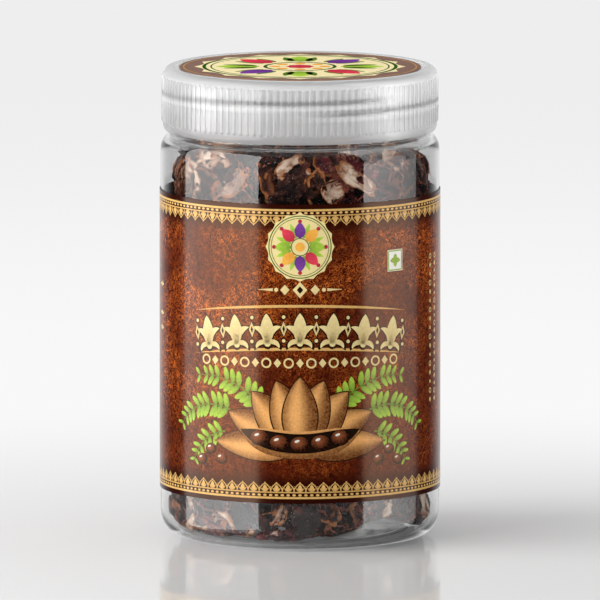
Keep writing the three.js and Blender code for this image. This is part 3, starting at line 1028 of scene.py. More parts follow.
def border(edge, inward):
    """The gold border along one edge of the film: a line, a row of beads, a thinner line, and pointed
    arches on it with a small palmette in each and a beaded stem between."""
    first = -math.pi * LABEL_RADIUS + LABEL_LAP / 2 + 0.4
    last = math.pi * LABEL_RADIUS + LABEL_LAP / 2 - 0.4
    run = np.linspace(first, last, 400)

    def at(along, depth):
        """Flat points at a depth from the film's edge."""
        return np.asarray(along) + 1j * (edge + inward * depth)

    units = np.arange(-(BORDER_UNITS // 2), BORDER_UNITS // 2 + 2) * BORDER_UNIT
    units = units[(units > first + 2) & (units < last - 2)]
    between = units + BORDER_UNIT / 2
    # one side of an arch, which closes in more and more on its way from the line to its point
    t = np.linspace(0, 1, 11)
    side = 0.5 * BORDER_UNIT * (1 - t**1.9) ** 0.8 + 1j * (4.1 + 2.85 * t)
    arch = np.concatenate([-side.conj()[:-1], side[::-1]])
    arch = arch.real + 1j * inward * arch.imag
    up = 0 if inward > 0 else -180
    return [
        (band(at(run, 1.95), 0.72)[None], False, 0.75, 0.0),
        (band(at(run, 3.85), 0.45)[None], False, 0.6, 0.0),
        (placed(oval(0.6, 0.4), at(np.concatenate([units, between]), 2.9)), True, 0.85, 0.0),
        (placed(band(arch, 0.36), units + 1j * edge), False, 0.6, 0.0),
        (placed(leaf(2.35, 1.5, 0.8, 8, 3), at(units, 4.2), up), False, 0.8, 0.0),
        (placed(leaf(1.75, 0.75, 0.8, 8, 3), at(units, 4.15), up + 50), False, 0.6, 0.0),
        (placed(leaf(1.75, 0.75, 0.8, 8, 3), at(units, 4.15), up - 50), False, 0.6, 0.0),
        (placed(disc(0.3, columns=8), at(units, 7.1)), True, 0.8, 0.0),
        (placed(disc(0.24, columns=8), at(between, 4.75)), True, 0.7, 0.0),
        (placed(disc(0.18, columns=8), at(between, 5.35)), True, 0.7, 0.0),
        (placed(disc(0.14, columns=8), at(between, 5.85)), True, 0.7, 0.0),
    ]


def on_arch(along, height):
    """A place in the arched middle part, which falls away to both sides as a parabola: by RULE_SAG at
    RULE_HALF from the middle."""
    along = np.asarray(along, float)
    return along + 1j * (height - RULE_SAG * (along / RULE_HALF) ** 2)


def arch_turn(along):
    """How far the arch leans at a distance along, in degrees: its slope's angle."""
    return np.degrees(np.arctan(-2 * RULE_SAG * np.asarray(along, float) / RULE_HALF**2))


def rule(height, width):
    """A long stroke on the arch, thickest in its middle and pointed at both ends: its width is less
    by the cube of the way to its end."""
    along = np.linspace(-RULE_HALF, RULE_HALF, 60)
    taper = np.clip(1 - np.abs(along / RULE_HALF) ** 3, 0.04, 1)
    return band(on_arch(along, height), width * taper)[None]


def frieze(grow, tone, height):
    """Flower heads and upright diamonds in turn on the arch. grow widens every shape, for the dark
    edge that is printed under it, and tone gives the tone of a petal's rows."""
    foot = on_arch(FRIEZE_FLOWERS, FRIEZE_HEIGHT - 5.0) - 0.5j * grow
    lean = arch_turn(FRIEZE_FLOWERS)
    middle, tilt = on_arch(FRIEZE_DIAMONDS, FRIEZE_HEIGHT), arch_turn(FRIEZE_DIAMONDS)
    shapes = [(placed(leaf(10.4 + grow, 4.6 + grow, 0.85, 16), foot, lean), False, tone(16), height)]
    for side in (-1, 1):
        upper = bent(leaf(8.6 + grow, 2.5 + grow, 0.85, 16), -95 * side)
        lower = bent(leaf(5.4 + grow, 1.7 + grow, 0.85, 16), -130 * side)
        shapes.append((placed(upper, foot, lean + 6 * side), False, tone(16), height))
        shapes.append((placed(lower, foot, lean - 48 * side), False, tone(16), height))
    shapes.append((placed(disc(1.1 + grow / 2, columns=16), foot), True, 0.9, height))
    shapes.append((placed(lozenge(2.2 + grow, 5.2 + grow), middle, tilt), False, 0.6, height))
    for up in (-4.1, 4.1):
        spot = on_arch(FRIEZE_DIAMONDS, FRIEZE_HEIGHT + up)
        shapes.append((placed(disc(0.62 + grow / 2, columns=14), spot), True, 0.8, height))
    return shapes


def rising(rows):
    """A tone that goes evenly from deep at a shape's foot to bright at its tip."""
    return np.linspace(0.45, 1, rows)[:, None]


def petals(turns, start, length, width, height):
    """A ring of petals about the medallion's middle that start a little way out from it."""
    shape = leaf(length, width, 0.8) + 1j * start
    return placed(shape, np.full(len(turns), MEDALLION), turns), False, rising(12), height


def spray(start, turn, bend, length, pairs, leaflet):
    """A leaf stem with paired leaflets: the stem's heading turns by bend degrees on its way, its
    places are the running sum of the headings, and the leaflets get smaller along it."""
    t = np.linspace(0, 1, 24)
    last = len(t) - 1
    heading = np.exp(1j * np.radians(turn + bend * t))
    stem = start + np.concatenate([[0], np.cumsum((heading[1:] + heading[:-1]) / 2)]) * length / last
    spots = np.linspace(2, last, pairs).astype(int)
    size = 1 - 0.45 * np.linspace(0, 1, pairs) ** 2
    headings = np.degrees(np.angle(heading[spots])) - 90
    one = leaf(leaflet, leaflet * 0.4, 0.9, 10, 3, 0.5)
    shapes = [(band(stem, np.linspace(0.6, 0.2, len(t)))[None], False, 0.2, 0.01)]
    for side in (-1, 1):
        spin = np.exp(1j * np.radians(headings + side * 60)) * size
        copies = one[None] * spin[:, None, None] + stem[spots][:, None, None]
        shade = np.linspace(0.35, 1, 10)[:, None] * np.array([[0.7, 1, 0.85]])
        shapes.append((copies, False, shade, 0.015))
    return shapes


# the gold border and the rules
gold = border(LABEL_HIGH, -1) + border(LABEL_LOW, 1)
gold += [(rule(height, 0.95), False, 0.7, 0.0) for height in RULE_HEIGHTS]

# the frieze: cream heads and diamonds on a dark edge, with a dark slit in every diamond
dark = frieze(0.9, lambda rows: 0.5, 0.0)
cream = frieze(0.0, rising, 0.02)
slits = placed(
    lozenge(0.9, 2.4), on_arch(FRIEZE_DIAMONDS, FRIEZE_HEIGHT), arch_turn(FRIEZE_DIAMONDS)
)
dark.append((slits, False, 0.5, 0.05))

# the divider: a diamond, and on both sides a smaller one, a dot and a pointed tail
tail = np.linspace(9.4, 14.6, 12)
tails = np.array([band(side * tail + DIVIDER, np.linspace(1.0, 0.1, 12)) for side in (-1, 1)])
cream += [
    (placed(lozenge(5.0, 5.6), DIVIDER), False, 0.9, 0.0),
    (placed(lozenge(3.2, 3.6), DIVIDER + np.array([-5.2, 5.2])), False, 0.8, 0.0),
    (placed(disc(0.7, columns=14), DIVIDER + np.array([-8.2, 8.2])), True, 0.8, 0.0),
    (tails, False, 0.8, 0.0),
]
dark.append((placed(lozenge(2.2, 2.6), DIVIDER), False, 0.5, 0.03))

# the row of beads: rings and diamonds in turn
beads = np.linspace(-35, 35, 19) + 1j * BEADS_HEIGHT
cream += [
    (placed(hoop(1.5, 0.6, 24), beads[::2]), False, 0.75, 0.0),
    (placed(lozenge(2.6, 3.2), beads[1::2]), False, 0.75, 0.0),
]

# the medallion: a scalloped cream round with two green rings, eight thin leaves between eight petals
# of four colours, and a red seed at the tip of each petal
eighths = np.arange(8) * 45.0
seeds = MEDALLION + 8.9 * np.exp(1j * np.radians(eighths))
cream.append((disc(11.9, 16, 0.06, 128)[None] + MEDALLION, True, 1.0, 0.06))
green = [
    (hoop(10.7, 0.35)[None] + MEDALLION, False, 0.1, 0.09),
    (hoop(9.9, 0.2)[None] + MEDALLION, False, 0.1, 0.09),
    (hoop(3.0, 0.3)[None] + MEDALLION, False, 0.1, 0.12),
    petals(eighths + 22.5, 3.2, 5.6, 1.6, 0.09),
    petals(eighths[::4] + 90, 3.0, 5.8, 3.6, 0.12),
]
red = [
    petals(eighths[[1, 5]], 3.0, 5.6, 3.8, 0.12),
    (placed(disc(0.7, columns=12), seeds), True, 0.4, 0.12),
]
purple = [petals(eighths[::4], 3.0, 5.6, 3.8, 0.12)]
orange = [
    petals(eighths[[3, 7]], 3.0, 5.6, 3.8, 0.12),
    (disc(1.6)[None] + MEDALLION, True, 0.8, 0.12),
]

# the tile: a white square with a green frame and four leaves
white = [(plate(6.8, 7.4)[None] + TILE, False, 1.0, 0.0)]
green.append((frame_strokes(TILE, 3.0, 3.3, 0.45), False, 0.55, 0.03))
green.append((placed(leaf(2.3, 1.7, 0.85), [TILE] * 4, [0, 90, 180, 270]), False, 0.6, 0.03))

# the flower's fanned tan petals on a dark edge, from the outer pair to the one in the middle, by turn,
# length and width. Each is bright a little left of its middle and darkens to its foot and tip
FAN = ((88, 31, 11), (66, 28, 12.5), (42, 25, 13), (20, 24, 12.5), (0, 24, 12))
tan = []
across = np.linspace(-1, 1, 9)[None, :]
along = np.linspace(0, 1, 20)[:, None]
for order, (turn, length, width) in enumerate(FAN):
    turns = np.array([turn, -turn] if turn else [0])
    feet = np.full(len(turns), BLOOM)
    height = 0.02 + 0.025 * order
    lit = 0.95 * np.exp(-((across + 0.25) ** 2) / 0.35) * np.sin(math.pi * (0.12 + 0.76 * along)) ** 0.7
    under = leaf(length + 0.9, width + 0.9, 0.8, 20, 9) - 0.4j
    dark.append((placed(under, feet, turns), False, 0.9, height))
    tan.append((placed(leaf(length, width, 0.8, 20, 9), feet, turns), False, 0.08 + lit, height + 0.015))

# the boat-shaped husk, whose middle line is a parabola, with dark seeds in it and more lying loose
t = np.linspace(-1, 1, 30)
curve = 0.5j + BLOOM + HUSK_HALF * t + 1j * HUSK_RISE * t**2
tan.append((band(curve, 9.4 * (1 - t**4) + 0.1)[None], False, np.array([[0.15, 0.75]]), 0.15))
dark.append((band(curve + 0.5j, 6.6 * (1 - t**4) + 0.1)[None], False, 0.2, 0.18))
seed_along = np.array([-14.0, -7.1, 0, 7.1, 14.0])
seed_rise = 1j * HUSK_RISE * (seed_along / HUSK_HALF) ** 2
seed = oval(3.3, 2.7, 20)
seed_tone = np.clip(0.75 - np.abs(disc(1, columns=20) - 0.3j + 0.2) * 0.7, 0, 1)
brown = [(placed(seed, BLOOM + 0.8j + seed_along + seed_rise), True, seed_tone, 0.21)]
loose = np.array([-33 + 34.5j, -28.6 + 31.4j, -37 + 30.6j, 33 + 34.5j, 28.6 + 31.4j, 37 + 30.6j])
brown.append((placed(seed, loose, [10, -15, 20, -10, 15, -20], 0.72), True, seed_tone, 0.03))
glints = placed(oval(0.9, 0.45, 12), BLOOM + seed_along - 1.0 + 1.9j + seed_rise, 20)
white.append((glints, True, 0.5, 0.24))
white.append((placed(oval(0.7, 0.35, 12), loose - 0.7 + 0.8j, 20), True, 0.5, 0.06))

# leafy sprays on the right, and the same mirrored on the left
for start, turn, bend, length, pairs, leaflet in (
    (13 + 50j, 50, -58, 28, 10, 5.6),
    (24 + 48j, 26, -80, 26, 10, 5.4),
    (27 + 41j, -8, -60, 18, 7, 4.8),
):
    for flat, ring, tone, height in spray(start, turn, bend, length, pairs, leaflet):
        green += [(flat, ring, tone, height), (-flat.conj(), ring, tone, height)]

# framed blank panels towards the back, strings of small shapes up the right side, and three diamonds
# at the left
for middle in PANELS:
    cream.append((frame_strokes(middle, 26, 38, 0.7), False, 0.5, 0.0))
    cream.append((frame_strokes(middle, 24.4, 36.4, 0.3), False, 0.5, 0.0))
    lines = middle + 1j * np.linspace(-30, 30, 13)
    cream.append((placed(band(np.linspace(-20, 20, 24) + 0j, 0.25), lines), False, 0.4, 0.0))
for along, pitch in ((57.0, 3.1), (61.3, 2.6)):
    spots = along + 1j * np.arange(49, 101, pitch)
    cream.append((placed(lozenge(1.7, 2.0), spots[::3]), False, 0.6, 0.0))
    cream.append((placed(hoop(0.8, 0.4, 16), spots[1::3]), False, 0.6, 0.0))
    cream.append((placed(disc(0.6, columns=10), spots[2::3]), True, 0.6, 0.0))
cream.append((placed(lozenge(5.0, 1.8), [-66 + 88j, -66 + 78j, -66 + 73j]), False, 0.6, 0.0))

# every ink's deep tone and bright tone
INKS = {
    "gold": ((0.38, 0.155, 0.032), (0.81, 0.53, 0.18)),
    "dark": ((0.004, 0.002, 0.0015), (0.03, 0.01, 0.004)),
    "cream": ((0.44, 0.25, 0.075), (0.84, 0.7, 0.33)),
    "green": ((0.02, 0.09, 0.012), (0.44, 0.68, 0.07)),
    "red": ((0.25, 0.01, 0.03), (0.8, 0.06, 0.1)),
    "purple": ((0.05, 0.01, 0.11), (0.22, 0.06, 0.36)),
    "orange": ((0.6, 0.16, 0.02), (0.95, 0.5, 0.08)),
    "white": ((0.6, 0.6, 0.5), (0.88, 0.88, 0.82)),
    "tan": ((0.1, 0.022, 0.004), (0.86, 0.43, 0.14)),
    "brown": ((0.008, 0.0015, 0.0008), (0.42, 0.12, 0.045)),
}
label_shapes = {
    "gold": gold,
    "dark": dark,
    "cream": cream,
    "green": green,
    "red": red,
    "purple": purple,
    "orange": orange,
    "white": white,
    "tan": tan,
    "brown": brown,
}
for name, shapes in label_shapes.items():
    label_ink = ink("label_" + name, INKS[name], FILM_GLOSS)
    print_ink("label_" + name, "jar", on_wall, shapes, label_ink)

# ---- Lid sticker ----
# A round of thick printed film, glued into the lid's sunk panel: a brown rim with a gold line, and on
# it a scalloped cream round with green rings and eight big petals.
STICKER_STEPS = 240
STICKER_RADIUS = 41.6
STICKER_FLAT = 38.0
STICKER_LOW = 161.6
STICKER_HIGH = 161.82
STICKER_BROWNS = [(0.3, (0.2, 0.115, 0.09)), (0.7, (0.29, 0.18, 0.145))]
STICKER_INKS = {**INKS, "cream": ((0.5, 0.28, 0.09), (0.93, 0.8, 0.46))}


def on_lid(flat, height):
    """Flat points laid on the sticker. Their imaginary part runs to the back of the jar."""
    return np.stack([flat.real, flat.imag, STICKER_HIGH + height + 0 * flat.real], -1)


def sticker_film():
    """Matt brown print with a fine mottle."""
    material, nodes, links, skin = surface_material("sticker_film")
    skin.inputs["Roughness"].default_value = 0.5
    skin.inputs["Specular IOR Level"].default_value = 0
    place = nodes.new("ShaderNodeTexCoord").outputs["Object"]
    grain = noise(nodes, links, place, 1200, 4)
    links.new(ramp(nodes, links, grain, STICKER_BROWNS), skin.inputs["Base Color"])
    return material


sticker_rows = chain(
    (0, STICKER_LOW),
    (STICKER_RADIUS - 0.05, STICKER_LOW),
    (STICKER_RADIUS, STICKER_LOW + 0.1),
    (STICKER_RADIUS - 0.05, STICKER_HIGH),
    (STICKER_FLAT, STICKER_HIGH),
    (0, STICKER_HIGH),
)
sticker_disc = add_piece(
    "sticker_disc",
    turned(sticker_rows, even_turn(STICKER_STEPS)),
    grid_faces(len(sticker_rows), STICKER_STEPS, False, True),
    sticker_film(),
)
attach(sticker_disc, "lid")
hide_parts("lid_sticker")


def around(shape, start, turns, height, tone=0.5, ring=False):
    """Copies of a shape in a ring about the sticker's middle, each moved out by start."""
    return placed(shape + 1j * start, np.zeros(len(turns)), turns), ring, tone, height


big_petal = leaf(15, 9, 0.8)
between = np.arange(16) * 22.5 + 11.25
sticker_shapes = {
    "cream": [(disc(36.4, 16, 0.07, 192)[None], True, 1.0, 0.0)],
    "gold": [(hoop(40.0, 0.4, 192)[None], False, 0.4, 0.0)],
    "green": [
        (hoop(33.0, 1.2, 192)[None], False, 0.0, 0.03),
        (hoop(30.6, 0.5, 192)[None], False, 0.0, 0.03),
        (hoop(12.0, 1.2, 96)[None], False, 0.0, 0.03),
        around(big_petal, 14, eighths[::2], 0.03, rising(12)),
        around(leaf(12, 3.6, 0.8), 15, between, 0.03, 0.2),
    ],
    "red": [
        around(big_petal, 14, eighths[1::4], 0.05, rising(12)),
        around(disc(5, 8, 0.15, 64), 0, [0], 0.05, 0.6, True),
    ],
    "purple": [around(big_petal, 14, eighths[3::4], 0.05, rising(12))],
    "orange": [around(disc(1.9), 8.6, eighths, 0.05, 0.7, True)],
}
for name, shapes in sticker_shapes.items():
    matt_ink = ink("sticker_" + name, STICKER_INKS[name], 0)
    print_ink("sticker_" + name, "lid", on_lid, shapes, matt_ink)

# ---- Tamarind ----
# Torn dried pulp without its shells, packed against the wall: creased dark lumps, folded flaps with a
# pale membrane on one face, and the red-brown fibres that run through a pod.
FILL_GAP = 0.5
FILL_TOP = 150.0
FLOOR_EDGE = 38.5
LATTICE = 24
FLAP_UNDER = 1.6
BAY = (44, 17, 6.5)
FREE_HEIGHTS = (122, 128, 134, 150)
FREE_DEPTHS = (0.0, 2.2, 5.8, 0.6)
# colour ramps over painted crease light and mottle: their near-black low ends paint the shade in the
# creases
PULP_DARK = (
    (0.25, (0.0015, 0.001, 0.0008)),
    (0.46, (0.008, 0.0032, 0.0025)),
    (0.62, (0.03, 0.009, 0.006)),
    (0.84, (0.15, 0.035, 0.022)),
)
PULP_WINE = (
    (0.25, (0.004, 0.0008, 0.001)),
    (0.46, (0.03, 0.003, 0.005)),
    (0.66, (0.13, 0.014, 0.018)),
    (0.85, (0.32, 0.07, 0.05)),
)
PULP_RUSTY = (
    (0.28, (0.005, 0.002, 0.0015)),
    (0.46, (0.035, 0.009, 0.005)),
    (0.66, (0.17, 0.045, 0.017)),
    (0.85, (0.45, 0.17, 0.06)),
)
MEMBRANE = ((0.24, (0.12, 0.04, 0.022)), (0.42, (0.4, 0.21, 0.13)), (0.66, (0.78, 0.6, 0.46)))
# amber of torn rims, with painted light through the thin edge
AMBER_AND_LIT_EDGE = (0.4, 0.13, 0.035)
# pale specks, partly sugar and partly painted glints
SUGAR_AND_GLINTS = (0.7, 0.62, 0.55)
FIBRE_REDS = ((0.35, (0.07, 0.012, 0.006)), (0.55, (0.26, 0.045, 0.02)), (0.75, (0.5, 0.18, 0.08)))
PULP_SHARP = 80
GOLDEN_ANGLE = 2.39996
FINE = (36, 48)
MIDDLING = (28, 38)
COARSE = (24, 32)
HIDDEN = (12, 16)


def cloud(points, size, seed):
    """Smooth noise from 0 to 1 with features of the given size: random values on a cubic lattice,
    blended between the eight corners of a cell."""
    lattice = np.random.default_rng(seed).random((LATTICE,) * 3)
    place = points / size
    cell = np.floor(place).astype(int)
    part = place - cell
    part = part * part * (3 - 2 * part)
    total = np.zeros(points.shape[:-1])
    for corner in np.ndindex(2, 2, 2):
        weight = np.prod(np.where(np.array(corner, bool), part, 1 - part), axis=-1)
        x, y, z = np.moveaxis((cell + corner) % LATTICE, -1, 0)
        total += weight * lattice[x, y, z]
    return total


def crease(points, size, seed):
    """Noise with sharp valleys: 0 in a crease and up to 1 between creases."""
    return np.minimum(1, 1.6 * np.abs(2 * cloud(points, size, seed) - 1))


def unit(vectors):
    """Vectors of the same directions and length 1."""
    return vectors / np.linalg.norm(vectors, axis=-1, keepdims=True)


hollow = jar_inside(FILL_GAP)
floor_end = np.argmax(hollow[:, 0] > FLOOR_EDGE)
hollow_floor, hollow_wall = hollow[: floor_end + 1], hollow[floor_end:]


def wall_radius(height):
    """The radius of the jar's hollow at a height, less FILL_GAP, between the points of its profile."""
    return np.interp(height, hollow_wall[:, 1], hollow_wall[:, 0])


def kept_inside(points, depth):
    """Presses points in from the wall by at least the depth, up from the floor and down from the top
    of the fill. Each limit is soft, the log of a sum of exponentials, so that a little of the relief
    stays. Under the shoulder FREE_DEPTHS at FREE_HEIGHTS stay free, and by the heel a hollow: BAY
    is its angle from the front, its width, both in degrees, and its rise."""
    x, y, z = np.moveaxis(points, -1, 0)
    radius = np.maximum(np.hypot(x, y), 1e-6)
    round_about = np.stack([x / radius, y / radius, 0 * x], -1)
    uneven = cloud(round_about + 5, 0.35, 61)
    bay = BAY[2] * np.exp(-((np.degrees(np.arctan2(x, -y)) - BAY[0]) / BAY[1]) ** 2 / 2)
    low = np.interp(radius, hollow_floor[:, 0], hollow_floor[:, 1]) + 0.3 * depth
    low = low + np.clip((radius - 25) / 12, 0, 1) * (bay + 2.2 * uneven)
    height = low + np.logaddexp(0, (z - low) / 0.8) * 0.8
    height = FILL_TOP - np.logaddexp(0, (FILL_TOP - height) / 0.8) * 0.8
    free = np.interp(height + 9 * (uneven - 0.5), FREE_HEIGHTS, FREE_DEPTHS)
    most = wall_radius(height) - depth
    most = np.minimum(most, BODY_RADIUS - WALL - FILL_GAP - free)
    limited = most - np.logaddexp(0, (most - radius) / 1.5) * 1.5
    limited = np.maximum(limited, np.minimum(radius, most) * 0.35)
    return np.stack([x * limited / radius, y * limited / radius, height], -1)


def torn_pieces(seed, places, outward, turn, half, curl, rows, columns):
    """Torn lumps and flaps. Each is a ball of rows by columns points, stretched to its three half
    lengths, with a ragged outline, creased along its length, waved, and curled about its second axis.
    Its third axis is near outward, and turn, in degrees, swings its first axis up from level. Those
    thinner than FLAP_UNDER are more ragged, flatter creased and more waved. Gives the points, how
    far each stands out of a crease (for painted shade in the creases), its share of the rim and of the
    side that the curl closes on."""
    rng = np.random.default_rng(seed)
    count = len(places)
    thin = half[:, 2] < FLAP_UNDER
    down = np.linspace(0, math.pi, rows)[None, :, None]
    about = np.linspace(0, 2 * math.pi, columns, endpoint=False)[None, None, :]
    parts = (np.sin(down) * np.cos(about), np.sin(down) * np.sin(about), np.cos(down))
    ball = np.stack(np.broadcast_arrays(*parts), -1)
    # the ragged outline, by cloud noise round the edge; shift gives every piece its own noise
    shift = rng.uniform(0, 200, (count, 1, 1, 3))
    edge = np.stack(np.broadcast_arrays(np.cos(about), np.sin(about), 0 * about), -1) + shift
    ragged = 0.45 * cloud(edge, 0.35, seed + 2) + 0.2 * cloud(edge, 0.11, seed + 6)
    ragged = np.where(thin[:, None, None], ragged, 0.5 * ragged)
    outline = 0.45 + 0.6 * cloud(edge, 0.9, seed + 1) + ragged
    points = ball * half[:, None, None, :]
    points[..., :2] *= outline[..., None]
    # folds and finer wrinkles stand out along the normal, and waves lift the third axis
    normal = unit(ball / half[:, None, None, :])
    strength = np.where(thin, 0.45, 1.0)[:, None, None]
    stretched = (points + shift) * (0.5, 1, 1)
    folds = crease(stretched, 3.4, seed + 3)
    wrinkles = crease(stretched, 1.3, seed + 4)
    grit = cloud(points + shift, 0.55, seed + 5)
    rise = strength * (2.6 * folds + 1.3 * wrinkles - 2.0) + 0.6 * (grit - 0.5)
    flat = (points + shift) * (1, 1, 0)
    wave = 7 * (cloud(flat, 6.5, seed + 7) - 0.5) + 2.4 * (cloud(flat, 2.6, seed + 8) - 0.5)
    points = points + normal * rise[..., None]
    points[..., 2] += wave * np.where(thin, 1, 0.35)[:, None, None]
    # the curl winds the first axis round a circle of radius 1 / bend
    bend = curl[:, None, None]
    reach = 1 / bend - points[..., 2]
    curled_x = reach * np.sin(bend * points[..., 0])
    curled_z = 1 / bend - reach * np.cos(bend * points[..., 0])
    points = np.stack([curled_x, points[..., 1], curled_z], -1)
    # the piece's three axes in its place
    third = unit(outward + rng.normal(0, 0.3, (count, 3)))
    upright = np.abs(third[:, 2:]) < 0.8
    level = unit(np.cross(np.where(upright, (0.0, 0.0, 1.0), (0.0, 1.0, 0.0)), third))
    swing = np.radians(turn)[:, None]
    first = level * np.cos(swing) + np.cross(third, level) * np.sin(swing)
    axes = np.stack([first, np.cross(third, first), third], 1)
    points = np.einsum("krca,kax->krcx", points, axes) + places[:, None, None, :]
    # painted shade: this darkens the pulp's colour in its creases
    painted_crease_light = 0.6 * folds + 0.4 * wrinkles
    rim = np.clip(2 * np.sin(down) - 1, 0, 1) * thin[:, None, None] + 0 * painted_crease_light
    inner = np.clip(0.5 + 2.5 * np.cos(down) * np.sign(bend), 0, 1) + 0 * painted_crease_light
    return points, painted_crease_light, rim, inner


def tamarind_pulp():
    """Sticky dried pulp, with painted shade that makes it near black in its creases and lighter where it
    stands out: brown, wine red or rusty by the piece's tint. A pale membrane covers the inner side of
    some pieces and lies in scraps on others, torn rims are amber with a painted glow of light through
    the thin edge, and fine pale specks are partly sugar and partly painted glints."""
    material, nodes, links, skin = surface_material("tamarind_pulp")
    place = nodes.new("ShaderNodeTexCoord").outputs["Object"]

    def step(source, low, high):
        """A smooth step from 0 to 1 as the source goes from low to high."""
        return map_range(nodes, links, source, low, high)

    def times(first, second):
        """The product of two values."""
        return operate(nodes, links, "MULTIPLY", first, second)

    painted_crease_light, rim = attribute(nodes, "painted_crease_light"), attribute(nodes, "rim")
    tint, pale = attribute(nodes, "tint"), attribute(nodes, "pale")
    mottle = noise(nodes, links, place, 420, 6, 0.7)
    # painted shade from the creases, mixed with a real mottle
    level = operate(nodes, links, "ADD", times(painted_crease_light, 0.42), times(mottle, 0.62))
    # one of three skins by tint, a membrane over part of it, and scraps of membrane
    dark = ramp(nodes, links, level, PULP_DARK)
    wine = ramp(nodes, links, level, PULP_WINE)
    rusty = ramp(nodes, links, level, PULP_RUSTY)
    membrane = ramp(nodes, links, level, MEMBRANE)
    deep = blend_colours(nodes, links, step(tint, 0.5, 0.58), dark, wine)
    whole = blend_colours(nodes, links, step(tint, 0.68, 0.8), deep, rusty)
    streaks = noise(nodes, links, place, 170, 3, 0.5, 0.6)
    cover = times(pale, step(streaks, 0.3, 0.4))
    skinned = blend_colours(nodes, links, cover, whole, membrane)
    strays = noise(nodes, links, place, 190, 4, 0.6, 1.0)
    scrap = times(step(strays, 0.66, 0.7), step(tint, 0.3, 0.6))
    scrapped = blend_colours(nodes, links, times(scrap, 0.7), skinned, membrane)
    # amber with painted light through the thin edge on torn rims, and pale specks that are partly sugar
    # and partly painted glints
    ragged = step(operate(nodes, links, "ADD", rim, times(mottle, 1.4)), 1.3, 1.75)
    lit_amber_rim = times(ragged, step(tint, 0.1, 0.5))
    with_lit_amber_rim = blend_colours(nodes, links, lit_amber_rim, scrapped, AMBER_AND_LIT_EDGE)
    # pale specks: sugar and painted glints
    grains = nodes.new("ShaderNodeTexVoronoi")
    grains.inputs["Scale"].default_value = 1300
    links.new(place, grains.inputs["Vector"])
    sugar_and_glint_specks = map_range(nodes, links, grains.outputs["Distance"], 0.12, 0.2, 1, 0)
    few = step(noise(nodes, links, place, 260, 2), 0.5, 0.62)
    with_sugar_and_glints = blend_colours(nodes, links, times(sugar_and_glint_specks, few), with_lit_amber_rim, SUGAR_AND_GLINTS)
    links.new(with_sugar_and_glints, skin.inputs["Base Color"])
    links.new(map_range(nodes, links, mottle, 0.35, 0.65, 0.12, 0.32), skin.inputs["Roughness"])
    skin.inputs["Specular IOR Level"].default_value = 0.35
    bump = nodes.new("ShaderNodeBump")
    bump.inputs["Strength"].default_value = 0.8
    bump.inputs["Distance"].default_value = 0.0006
    links.new(noise(nodes, links, place, 850, 6, 0.72), bump.inputs["Height"])
    links.new(bump.outputs[0], skin.inputs["Normal"])
    return material


def add_pulp(name, grids, faces, values):
    """One piece of pulp from grids of points, with the four values that its colours read."""
    piece = add_piece(name, grids, faces, pulp, values, PULP_SHARP)
    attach(piece, "jar")
    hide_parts("tamarind")


def grid_copies(count, rows, columns):
    """The faces of a number of balls, each a grid of rows by columns points, facing outwards."""
    return copied_faces(grid_faces(rows, columns, False, True)[:, ::-1], count, rows * columns)


def add_torn(name, seed, places, outward, rows, columns):
    """One piece that holds a batch of torn lumps and flaps of random sizes at the given places. Half
    of them are flaps, which are wider, a fifth as thick and more curled."""
    rng = np.random.default_rng(seed)
    count = len(places)
    flap = rng.random(count) < 0.5
    sizes = ((5.5, 9.5), (3.6, 6), (2.4, 4))
    half = np.stack([rng.uniform(least, most, count) for least, most in sizes], 1)
    half[flap] *= (1.2, 1.15, 0.22)
    curl = np.where(flap, rng.uniform(0.06, 0.2, count), 0.015) * rng.choice([-1, 1], count)
    places = places - outward * (half[:, 2:] * 0.7 + 1.0 + rng.uniform(0, 3.5, (count, 1)))
    turn = rng.uniform(-90, 90, count)
    points, painted_crease_light, rim, inner = torn_pieces(seed, places, outward, turn, half, curl, rows, columns)
    points = kept_inside(points, 0.7 + rng.uniform(0, 1.8, (count, 1, 1)) ** 2)
    tint = rng.random((count, 1, 1)) + 0 * painted_crease_light
    pale = (flap & (rng.random(count) < 0.3))[:, None, None] * inner
    values = {"painted_crease_light": painted_crease_light, "rim": rim, "tint": tint, "pale": pale}
    add_pulp(name, points, grid_copies(count, rows, columns), values)


def ring_places(rng, height, spacing):
    """Places round the wall at a height, each a little off, and the outward direction there."""
    radius = wall_radius(height)
    count = int(2 * math.pi * radius / spacing)
    angle = (np.arange(count) + rng.normal(0, 0.22, count) + rng.random()) * 2 * math.pi / count
    outward = np.stack([np.cos(angle), np.sin(angle), 0 * angle], 1)
    rise = height + rng.normal(0, 2.2, count)
    out = radius - np.abs(rng.normal(0, 1.2, count))
    return outward * out[:, None] + (0, 0, 1) * rise[:, None], outward


def bed_places(rng, height, radius, spacing):
    """Places over a round bed at a height, facing up, on a sunflower spiral: each turns on by the
    golden angle, and its distance grows with the square root of its number."""
    count = int((radius / spacing) ** 2 * math.pi)
    out = radius * np.sqrt((np.arange(count) + 0.5) / count)
    angle = np.arange(count) * GOLDEN_ANGLE + rng.normal(0, 0.2, count)
    places = np.stack([out * np.cos(angle), out * np.sin(angle), height + rng.normal(0, 1.5, count)], 1)
    return places, np.tile([0.0, 0.0, 1.0], (count, 1))


